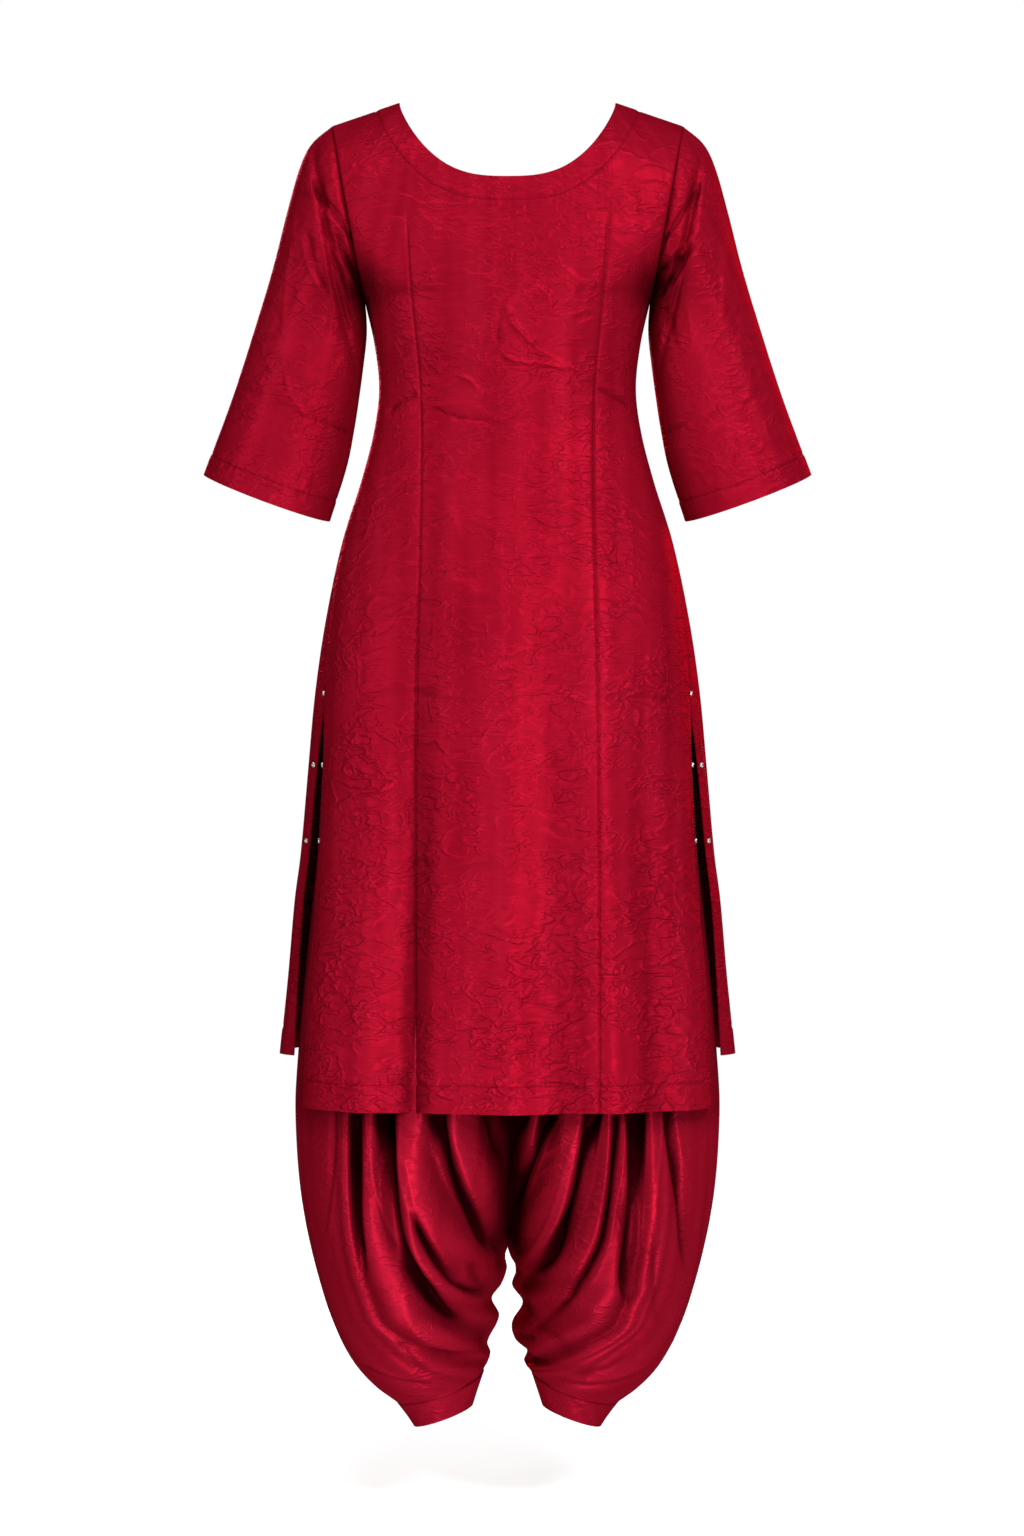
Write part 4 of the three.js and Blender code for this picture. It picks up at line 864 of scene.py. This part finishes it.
SLEEVE_CREASES = {
    "left": [
        (-9, 3.4, [(-197, -71), (-194, -81), (-187, -99), (-174, -114), (-162, -129), (-153, -145),
            (-147, -158)]),
        (2.6, 3, [(-201, -81), (-197, -89), (-189, -105), (-177, -120), (-164, -135), (-154, -152)]),
        (-7, 4, [(-176, -131), (-172, -140), (-162, -156), (-154, -173), (-149, -188)]),
        (2.4, 3, [(-183, -131), (-179, -143), (-169, -161), (-159, -177), (-153, -190)]),
        (-3, 4.5, [(-203, -127), (-200, -145), (-195, -165), (-187, -185), (-175, -200)]),
        (1.6, 3, [(-207, -131), (-206, -145), (-202, -162), (-194, -181), (-184, -197)]),
        (1.2, 3.6, [(-213, -89), (-214, -104), (-217, -134), (-223, -170), (-227, -220), (-228, -250)]),
        (2.4, 2.2, [(-226, -267), (-224, -277), (-221, -291), (-214, -303), (-201, -316)]),
        (-2.6, 2.4, [(-219, -313), (-201, -318), (-184, -322), (-169, -327), (-153, -331)]),
        (-1.8, 3, [(-246, -297), (-239, -300), (-224, -306), (-212, -312)]),
        (-1.6, 2.4, [(-278, -283), (-271, -286), (-260, -290), (-248, -294)]),
        (-2.2, 4, [(-168, -39), (-166, -64), (-162, -89)]),
        (1.4, 3, [(-171, -200), (-177, -218), (-179, -240)]),
        (1.2, 2.6, [(-164, -240), (-166, -260), (-163, -281)]),
    ],
    "right": [
        (-9, 3.4, [(194, -75), (191, -89), (184, -106), (169, -126), (151, -145), (144, -154)]),
        (2.6, 3, [(197, -75), (193, -94), (183, -113), (168, -131), (152, -150)]),
        (2.2, 3, [(198, -127), (191, -134), (176, -146), (158, -159)]),
        (-5, 4, [(194, -143), (178, -154), (162, -164), (149, -174)]),
        (-7, 4, [(180, -150), (176, -159), (169, -176), (151, -197)]),
        (2.4, 3, [(186, -150), (180, -162), (173, -179), (158, -197)]),
        (1.2, 3.6, [(215, -89), (216, -106), (219, -145), (218, -195), (216, -230)]),
        (2.2, 2.2, [(251, -293), (239, -300), (226, -303), (209, -307)]),
        (1.8, 2, [(243, -305), (230, -309), (216, -319)]),
        (-2.4, 2.4, [(150, -333), (156, -331), (171, -326), (188, -320)]),
        (-1.8, 2.6, [(194, -317), (210, -311), (229, -306), (252, -297)]),
        (-1.6, 2.4, [(247, -292), (255, -289), (267, -288), (275, -289)]),
        (-2.2, 4, [(170, -39), (167, -64), (162, -89)]),
        (1.4, 3, [(178, -200), (184, -222), (186, -246)]),
        (-2, 4, [(158, -200), (166, -225), (170, -252)]),
    ],
}
SLEEVE_CRUMPLE = [(158, 300, -392, -190, 34, 34, 60, 0.7, 2.2), (160, 230, -190, -50, 12, 30, 60, 0.7, 2.4)]
for word, side in (("left", -1), ("right", 1)):
    points, plain, seam, painted_shade = sleeve_points(word, side, 191, 220)
    sleeve = shell(
        f"kameez_sleeve_{word}_silk", points, side, wrap=True, material=crisp_silk, lining=plain, seam=seam,
        painted_shade=painted_shade,
    )
    places, normals = crossing(points, normals_of(points, side, True), seam, last=True)
    loop = np.concatenate([places, places[:1]]), np.concatenate([normals, normals[:1]])
    sleeve_stitches = stitches(f"kameez_sleeve_{word}_stitching", [loop])
    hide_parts(f"kameez_sleeve_{word}")

# ---------------------------------------------------------------- neck facings
# A band of the same silk turned in round the neck and stitched down, 24 mm wide.
FACING = {"width": 24, "clear": 3, "below_seam": 4, "cloth": 1.5}


def facing_points(face):
    """The panel's own surface, moved in: from the neckline out to the facing's width, square to it."""
    towards = -1 if face == "back" else 1

    def depth(x, z):
        angle = np.arcsin(np.clip(x / edge_x(z, face), -1, 1))
        return depth_at(x, z, angle, 0 * x, face)

    x = NECK["x"] * np.sin(np.pi * np.linspace(-0.5, 0.5, 91))
    z = neckline(x, face)
    dx, dz = np.gradient(x), np.gradient(z)
    size = np.hypot(dx, dz)
    share = np.linspace(0, 1, 9)[:, None]
    px = x + dz / size * FACING["width"] * share
    pz = np.minimum(z - dx / size * FACING["width"] * share, shoulder_line(px) - FACING["below_seam"])
    tip, lean = depth(px - 1, pz) - depth(px + 1, pz), depth(px, pz - 1) - depth(px, pz + 1)
    normal = unit(np.stack([tip, 2 * towards + 0 * px, lean], -1))
    return np.stack([px, towards * depth(px, pz), pz], -1) - normal * (FACING["cloth"] + FACING["clear"])


for face, towards in (("back", -1), ("front", 1)):
    facing = shell(f"kameez_neck_facing_{face}_silk", facing_points(face), towards, 0.8, material=crisp_silk)
    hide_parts(f"kameez_neck_facing_{face}")

# ---------------------------------------------------------------- studs
# Small round metal studs with sunken middles, pressed through the cloth along both edges of each slit.
stud_metal, shader = finish_of("stud_metal", Metallic=0.9, Base_Color=(0.83, 0.82, 0.79, 1))
start = Thread(stud_metal.node_tree)
place = start.node("ShaderNodeTexCoord", "Object")
rubbed = start.node("ShaderNodeTexNoise", 0, {"Vector": place, "Scale": 900.0})
stud_metal.node_tree.links.new((0.22 + 0.14 * rubbed).socket, shader.inputs["Roughness"])
# Radius and height of each ring of a stud, from its foot to its sunken middle.
STUD_PROFILE = np.array([
    (2.45, -0.6), (2.7, 0.1), (2.7, 0.7), (2.5, 1.35), (2.05, 1.8), (1.6, 1.75), (1.15, 1.3), (0.7, 0.95),
    (0.05, 0.85),
])
STUD_CORNERS = 20
# Each stud's name, the panel that it is on, its height, and how far in from the slit's edge it stands.
STUDS = [("slit_top", "back", -597, 3), ("back_upper", "back", -669, 4.5), ("back_lower", "back", -745, 4.5),
         ("front_upper", "front", -669, 5), ("front_lower", "front", -746, 5)]
for word, side in (("left", -1), ("right", 1)):
    for name, face, z, inset in STUDS:
        row = np.array([z + 0.0])
        edge, near = (panel_points(np.array([side * s]), row, face)[0, 0] for s in (1.0, 0.9))
        s = 1 - inset / np.linalg.norm(edge - near) / 10
        grid = panel_points(side * np.array([s - 0.01, s, s + 0.01]), np.array([z - 4.0, z, z + 4.0]), face)
        axis = unit(np.cross(grid[1, 2] - grid[1, 0], grid[2, 1] - grid[0, 1]))
        axis *= 1 if axis[0] * side > 0 else -1
        foot = grid[1, 1] + axis * 0.7
        u = unit(np.cross(axis, (0, 0, 1.0)))
        turn = np.arange(STUD_CORNERS) * 2 * np.pi / STUD_CORNERS
        ring = np.cos(turn)[:, None] * u + np.sin(turn)[:, None] * np.cross(axis, u)
        radius, high = STUD_PROFILE.T[:, :, None, None]
        points = foot + radius * ring[None] + high * axis
        mesh = bpy.data.meshes.new(f"stud_{name}_{word}_metal")
        corners = np.arange(STUD_PROFILE.shape[0] * STUD_CORNERS).reshape(-1, STUD_CORNERS)
        ends = [corners[0, ::-1].tolist(), corners[-1].tolist()]
        sides = quads(len(STUD_PROFILE), STUD_CORNERS, wrap=True)
        mesh.from_pydata((points.reshape(-1, 3) / 1000).tolist(), [], sides.tolist() + ends)
        mesh.shade_smooth()
        mesh.materials.append(stud_metal)
        stud = placed(mesh.name, mesh)
        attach(stud, "root")
        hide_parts(f"stud_{name}_{word}")

# ---------------------------------------------------------------- salwar yoke
# A plain belt of silk round the waist and hips, under the kameez, that the legs are pleated on to.
WAIST, YOKE_HEM = -330, -520
YOKE = columns("z half back front", (WAIST, 122, 74, 84), (-420, 138, 94, 86), (YOKE_HEM, 160, 118, 90))
turn, z = np.meshgrid(np.arange(96) * 2 * np.pi / 96, np.linspace(WAIST, YOKE_HEM + 2 * SEAM_GAP, 40))
reach = np.where(np.sin(turn) > 0, -along(YOKE, "back", z), along(YOKE, "front", z))
yoke_points = np.stack([along(YOKE, "half", z) * np.cos(turn), reach * np.abs(np.sin(turn)), z], -1)
yoke = shell("salwar_yoke_silk", yoke_points, 1, wrap=True, material=crisp_silk)
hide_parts("salwar_yoke")

# ---------------------------------------------------------------- salwar legs
# Each leg is one wide width of softer silk, pleated on to the yoke. The pleats hang plumb behind and in
# front and then sweep across to the inner leg, where they gather on the inseam above the cuff.
# Its lift of 0.2 brightens the legs' whole tone: a painted brightening that stands in for the lamps' light.
fluid_silk = silk_cloth("fluid_silk", 0.28, 0.36, 0.33, 0.2)
CROTCH, FREE_FALL, SEAT_SEAM_ENDS, PLEAT_SET = -1164, -1000, -1040, 110
VALLEY_SHARE, FOLD_FADE = 0.4, 0.55
LEG = columns(
    "z outZ outX split back front",
    (YOKE_HEM, YOKE_HEM, 160, 0, 118, 90), (-620, -620, 176, 0.1, 126, 94), (-720, -720, 190, 0.24, 130, 99),
    (-820, -820, 201, 0.4, 134, 105), (-900, -900, 209, 0.56, 138, 111), (-960, -960, 214, 0.68, 142, 117),
    (-1010, -1010, 217, 0.77, 146, 125), (-1060, -1060, 215.5, 0.86, 151, 133),
    (-1100, -1100, 212, 0.93, 153, 138), (-1135, -1135, 206.5, 0.975, 152, 140),
    (-1164, -1165, 200, 1, 148, 138), (-1186, -1190, 193.5, 1, 142, 134),
    (-1210, -1217, 185.5, 1, 132, 126), (-1231, -1240, 177, 1, 121, 117), (-1250, -1262, 167, 1, 109, 106),
    (-1266, -1284, 153, 1, 96, 94), (-1279, -1303, 135, 1, 82, 80), (-1289, -1318, 115, 1, 69, 67),
)
INSEAM = {
    "left": columns("z x", (-1164, 0.3), (-1172, 2.5), (-1184, 0.6), (-1200, 6), (-1215, 16), (-1233, 8.5),
                    (-1260, 20.5), (-1271, 17.5), (-1289, 24)),
    "right": columns("z x", (-1164, 0.3), (-1172, 3), (-1185, 9.5), (-1201, 4.6), (-1219, 15.5),
                     (-1240, 4.5), (-1257, 8), (-1268, 20), (-1279, 17), (-1289, 24)),
}
# Each line of the leg's cloth: degrees round from the outer side where it hangs plumb, the angle that it
# sweeps round to (180 is the inseam), the height where it ends, how suddenly it sweeps, and the depth,
# width and beginning of the valley along it.
OUTER_LINES = [(0, 0, -1289, 6, 0, 5, -520), (30, 66, -1289, 7, 0, 5, -520)]
LINES = {
    ("left", "back"): [
        (52, 135, -1289, 8, 5, 3.5, -900), (63.4, 180, -1280, 9, 13, 3.6, -520),
        (77.5, 180, -1260, 4.8, 21, 4.6, -520),
        (90, 180, -1215, 4.6, 13, 4, -1070), (102.4, 180, -1168, 2.5, 21, 5, -520),
        (128, 180, -1072, 1.6, 18, 5, -520)],
    ("right", "back"): [
        (55, 140, -1289, 8, 5, 3.5, -900), (63, 180, -1287, 10, 4, 3, -700),
        (74, 180, -1279, 9, 21, 4.6, -520),
        (85, 180, -1268, 4.2, 12, 4, -1000), (95.5, 180, -1219, 2.6, 21, 4.8, -520),
        (107, 180, -1186, 2.2, 9, 3.6, -1060),
        (117, 180, -1128, 1.7, 20, 5, -520)],
    "front": [
        (52, 135, -1289, 8, 6, 3.8, -900), (65, 180, -1280, 8, 16, 4.2, -520),
        (80, 180, -1262, 4.4, 19, 4.6, -520),
        (96, 180, -1217, 3, 19, 4.8, -520), (112, 180, -1160, 2.2, 17, 4.8, -520),
        (128, 180, -1080, 1.6, 15, 4.6, -520)],
}


def closing(split):
    """How far round a ring reaches from its outer side: the angle whose cosine is minus split."""
    return np.arccos(-np.minimum(1, split))


def ring_points(ring, angle, back):
    """Points of a slanting ring, and the way in to its centre: half its width along its axis by the
    cosine, its depth behind or in front by the sine."""
    outer = np.stack([ring["outX"], 0 * ring["outX"], ring["outZ"]], -1)
    inner = np.stack([ring["inX"], 0 * ring["inX"], ring["z"]], -1)
    span = np.linalg.norm(outer - inner, axis=-1)
    half = np.where(ring["split"] < 1, ring["outX"] / (1 + ring["split"]), span / 2)[..., None]
    axis = (outer - inner) / span[..., None]
    centre = outer - axis * half
    points = centre + axis * half * np.cos(angle)[..., None]
    points[..., 1] += (-ring["back"] if back else ring["front"]) * np.sin(angle)
    return points, unit(centre - points)


def leg_half(word, back, rows_above, shares, per_degree):
    """One face of a leg as rows x columns. A column is a line of the cloth: it hangs plumb to FREE_FALL,
    then sweeps round towards the inseam by a power of the share gone. Valleys between the pleats are
    bells across the lines. Gives the points and the valleys' depth."""
    seat_angle = closing(along(LEG, "split", np.array(FREE_FALL + 0.0)))
    seat = math.degrees(seat_angle)
    inner_lines = LINES[(word, "back") if back else "front"]
    rows = OUTER_LINES + inner_lines + [(seat, 180, SEAT_SEAM_ENDS, 1, 0, 5, 0)]
    lines = columns("turn arrives ends late depth width begins", *rows)
    turn = spaced(0, seat, int(seat * per_degree), [(t, 3.5, 2.4) for t in lines["turn"][2:-1]])
    ends, late, arrives = (along(lines, name, turn) for name in ("ends", "late", "arrives"))
    share = np.concatenate([np.zeros(len(rows_above)), shares])[:, None]
    falling = np.repeat(rows_above[:, None], len(turn), 1)
    z = np.concatenate([falling, FREE_FALL + (ends - FREE_FALL) * shares[:, None]])
    ring = {name: along(LEG, name, z) for name in LEG}
    ring["z"] = z
    ring["inX"] = np.where(z < CROTCH, along(INSEAM[word], "x", z), 0)
    ring["split"] = np.where(z <= CROTCH, 1, ring["split"])
    reach = closing(ring["split"])
    hanging = np.radians(turn) / seat_angle * reach
    plumb = np.minimum(np.radians(turn), reach)
    sweep = plumb + (np.minimum(reach, np.radians(arrives)) - plumb) * share ** late
    sweep[:, -1] = reach[:, -1]
    angle = np.where(share > 0, sweep, hanging)
    points, inward = ring_points(ring, angle, back)
    depth = sum(
        VALLEY_SHARE * d * smoothstep((b - z) / PLEAT_SET) * bell((turn - t) / w)
        for t, d, w, b in zip(lines["turn"], lines["depth"], lines["width"], lines["begins"])
    )
    calm = 1 - smoothstep((angle / reach - 0.9) / 0.1)
    return points + inward * (depth * calm)[..., None], depth * calm


LEG_FOLDS = {
    "left": [
        (-42, 4.6, [(-119, -939), (-120, -1009), (-117, -1042), (-114, -1074), (-107, -1115), (-96, -1159),
            (-78, -1188), (-57, -1215), (-29, -1228)]),
        (-34, 4.4, [(-76, -939), (-68, -1009), (-58, -1050), (-45, -1088), (-33, -1115), (-19, -1150),
            (-5, -1168)]),
        (-30, 4.2, [(-152, -939), (-151, -1009), (-151, -1046), (-150, -1086), (-148, -1120), (-144, -1149),
            (-139, -1184)]),
        (-16, 3.8, [(-94, -1100), (-90, -1115), (-79, -1139), (-56, -1173), (-37, -1190), (-26, -1197),
            (-15, -1209)]),
        (-20, 5, [(-19, -939), (-17, -1009), (-11, -1037), (-5, -1062), (-0, -1086)]),
        (-4, 5, [(-172, -958), (-171, -1009), (-173, -1056), (-176, -1095), (-181, -1144)]),
        (-6, 3, [(-83, -1243), (-75, -1248), (-65, -1252), (-50, -1257), (-35, -1259), (-20, -1262)]),
        (-4, 5, [(-37, -1156), (-29, -1179), (-23, -1193), (-14, -1212)]),
        (-4.5, 3, [(-155, -1271), (-139, -1275), (-116, -1282), (-92, -1286), (-67, -1285)]),
        (1.6, 2.8, [(-157, -1262), (-147, -1268), (-129, -1273), (-116, -1277), (-92, -1282),
            (-67, -1280)]),
        (1.6, 2.6, [(-87, -1237), (-78, -1244), (-67, -1248), (-52, -1252), (-37, -1256), (-23, -1258)]),
        (1.5, 2.6, [(-169, -958), (-168, -1011), (-168, -1053), (-172, -1090), (-177, -1130),
            (-180, -1169)]),
        (1.9, 2.6, [(-148, -958), (-146, -1011), (-146, -1042), (-146, -1078), (-144, -1115), (-140, -1151),
            (-136, -1204)]),
        (2.0, 3.2, [(-139, -958), (-139, -1011), (-135, -1048), (-129, -1086), (-120, -1115), (-105, -1144),
            (-96, -1164), (-78, -1193), (-61, -1216)]),
        (2.0, 3, [(-113, -958), (-114, -1011), (-111, -1042), (-105, -1078), (-96, -1110), (-81, -1144),
            (-66, -1174), (-45, -1190)]),
        (1.6, 3, [(-84, -958), (-84, -1011), (-76, -1029), (-61, -1073), (-47, -1105), (-32, -1137),
            (-17, -1161), (-5, -1173)]),
        (1.7, 3, [(-60, -958), (-60, -1011), (-52, -1042), (-40, -1068), (-30, -1095), (-17, -1125)]),
        (2.2, 3.4, [(-105, -1184), (-97, -1213), (-87, -1233), (-70, -1242), (-55, -1245)]),
        (-4, 6, [(-109, -1234), (-99, -1252), (-87, -1268), (-75, -1274)]),
        (1.8, 4, [(-103, -1046), (-94, -1086), (-90, -1100), (-82, -1107)]),
        (1.8, 3, [(-45, -1162), (-42, -1174), (-37, -1184)]),
    ],
    "right": [
        (-44, 4.8, [(126, -939), (127, -1011), (127, -1042), (125, -1073), (121, -1102), (118, -1130),
            (116, -1169), (117, -1210)]),
        (-36, 4.6, [(91, -939), (85, -1009), (79, -1037), (72, -1062), (59, -1108), (46, -1144),
            (32, -1170), (14, -1193)]),
        (-20, 3.6, [(112, -939), (108, -1007), (103, -1062), (98, -1101), (92, -1134), (81, -1159),
            (69, -1180), (48, -1212), (27, -1233), (18, -1242)]),
        (-32, 4.6, [(48, -939), (41, -1009), (34, -1029), (27, -1048), (11, -1088), (-0, -1132)]),
        (-24, 4.2, [(159, -948), (160, -1011), (162, -1037), (169, -1078), (176, -1130), (179, -1184)]),
        (-20, 5, [(16, -939), (14, -1011), (6, -1042), (2, -1071)]),
        (-4, 5, [(144, -1125), (146, -1156), (146, -1184), (149, -1213), (159, -1235)]),
        (-5, 3, [(2, -1146), (6, -1155), (14, -1163)]),
        (-6, 4, [(6, -1247), (12, -1248), (20, -1245), (29, -1243)]),
        (-4.5, 3, [(44, -1284), (62, -1287), (82, -1289), (114, -1285), (144, -1274)]),
        (1.6, 2.8, [(40, -1276), (54, -1279), (82, -1283), (114, -1278), (132, -1272), (148, -1264)]),
        (1.9, 2.8, [(134, -958), (134, -1011), (135, -1046), (134, -1086), (132, -1120), (131, -1154)]),
        (1.6, 2.6, [(153, -958), (153, -1011), (152, -1042), (148, -1078), (146, -1115), (146, -1151)]),
        (1.5, 2.8, [(168, -958), (167, -1011), (171, -1046), (181, -1086), (189, -1115), (191, -1144)]),
        (2.0, 3.2, [(96, -958), (93, -1011), (89, -1042), (83, -1078), (73, -1110), (61, -1140),
            (48, -1164), (27, -1190)]),
        (1.9, 3, [(79, -958), (74, -1009), (63, -1042), (53, -1078), (42, -1115), (28, -1144),
            (12, -1170)]),
        (1.9, 3, [(52, -958), (48, -1011), (40, -1037), (33, -1061), (21, -1095), (8, -1135)]),
        (1.6, 3, [(118, -958), (117, -1011), (113, -1061), (106, -1101), (100, -1135), (89, -1164),
            (76, -1186), (54, -1218), (37, -1235)]),
        (1.5, 3, [(22, -958), (22, -1011), (13, -1042), (7, -1071)]),
        (1.5, 3.4, [(131, -1224), (134, -1240), (134, -1252), (133, -1268)]),
        (-4, 6, [(22, -1229), (40, -1233), (54, -1245), (64, -1259)]),
        (1.8, 3.4, [(32, -1061), (40, -1051), (52, -1042), (57, -1039)]),
        (1.6, 3.4, [(30, -1076), (40, -1066), (52, -1060)]),
        (-3, 5, [(62, -1285), (82, -1274), (102, -1268), (124, -1252)]),
    ],
}


def leg_points(word, side):
    """A leg's grid: the front from the seat seam round to the outer side, then the back on to the seat
    seam, which lies deep between the legs. Its folds are laid behind, and in front by mirroring the other
    leg's. Gives the points and the shade painted on each: painted shade in fold troughs and pleat valleys
    and in the cleft between the legs, a painted shadow under the kameez hem, and a painted highlight on
    fold ridges."""
    above = spaced(YOKE_HEM, FREE_FALL, 28)
    shares = 1 - (1 - np.linspace(0, 1, 119)[1:]) ** 1.25
    front, front_depth = leg_half(word, False, above, shares, 0.62)
    back, back_depth = leg_half(word, True, above, shares, 1.6)
    points = np.concatenate([front[:, ::-1], back[:, 1:]], axis=1)
    depth = np.concatenate([front_depth[:, ::-1], back_depth[:, 1:]], axis=1)
    points[..., 0] = np.maximum(points[..., 0], -0.3)
    points[..., 1] *= 1 - 0.5 * bell(points[..., 0] / 11) * smoothstep((-960 - points[..., 2]) / 60)
    points[..., 0] *= side
    normals = normals_of(points, side)
    folds = creased(points, normals, LEG_FOLDS[word], -1, FOLD_FADE)
    folds = folds + creased(points, normals, mirrored(LEG_FOLDS[OTHER[word]]), 1, FOLD_FADE)
    folds *= np.where(points[..., 2] > CROTCH, smoothstep(np.abs(points[..., 0]) / 12), 1)
    points = points + normals * folds[..., None]
    points[..., 0] = np.maximum(points[..., 0] * side, -0.3) * side
    # Painted shade in the cleft between the legs, and a painted shadow under the kameez hem.
    between = bell((points[..., 0] - 3) / 14) * smoothstep((points[..., 2] - CROTCH + 20) / 40)
    painted_hem_shadow = 0.4 * smoothstep((points[..., 2] + 1045) / 35)
    # Painted shade in fold troughs and pleat valleys, and a painted highlight on fold ridges.
    painted_shade = np.where(folds < 0, -folds / 11, -folds / 7) + depth / 15 + between + painted_hem_shadow
    return points, np.clip(painted_shade, -0.35, 1)


for word, side in (("left", -1), ("right", 1)):
    points, painted_shade = leg_points(word, side)
    leg = shell(f"salwar_leg_{word}_silk", points, side, material=fluid_silk, painted_shade=painted_shade)
    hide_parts(f"salwar_leg_{word}")

# ---------------------------------------------------------------- salwar cuffs
# Stiffened ankle cuffs, cut on the slant: they hang to a point on the outer side and ride up behind.
CUFF = columns(
    "z outZ outX inX back front lift",
    (-1289, -1318, 115, 24, 69, 67, 0), (-1307, -1332, 104.5, 30, 61, 60, 2),
    (-1324, -1345.5, 95.8, 35.4, 54, 53, 5),
)
for word, side in (("left", -1), ("right", 1)):
    turn, z = np.meshgrid(np.arange(120) * 2 * np.pi / 120, np.linspace(-1289.2, -1324, 24))
    ring = {name: along(CUFF, name, z) for name in CUFF}
    ring["z"], ring["split"] = z, 1 + 0 * z
    points, _ = ring_points(ring, turn, True)
    points[..., 2] += ring["lift"] * np.sin(turn)
    points[..., 0] *= side
    # Painted shade along the seam where the leg meets the cuff.
    painted_shade = 0.6 * bell((z + 1289) / 2.2)
    cuff = shell(f"salwar_cuff_{word}_silk", points, side, wrap=True, material=fluid_silk, painted_shade=painted_shade)
    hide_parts(f"salwar_cuff_{word}")
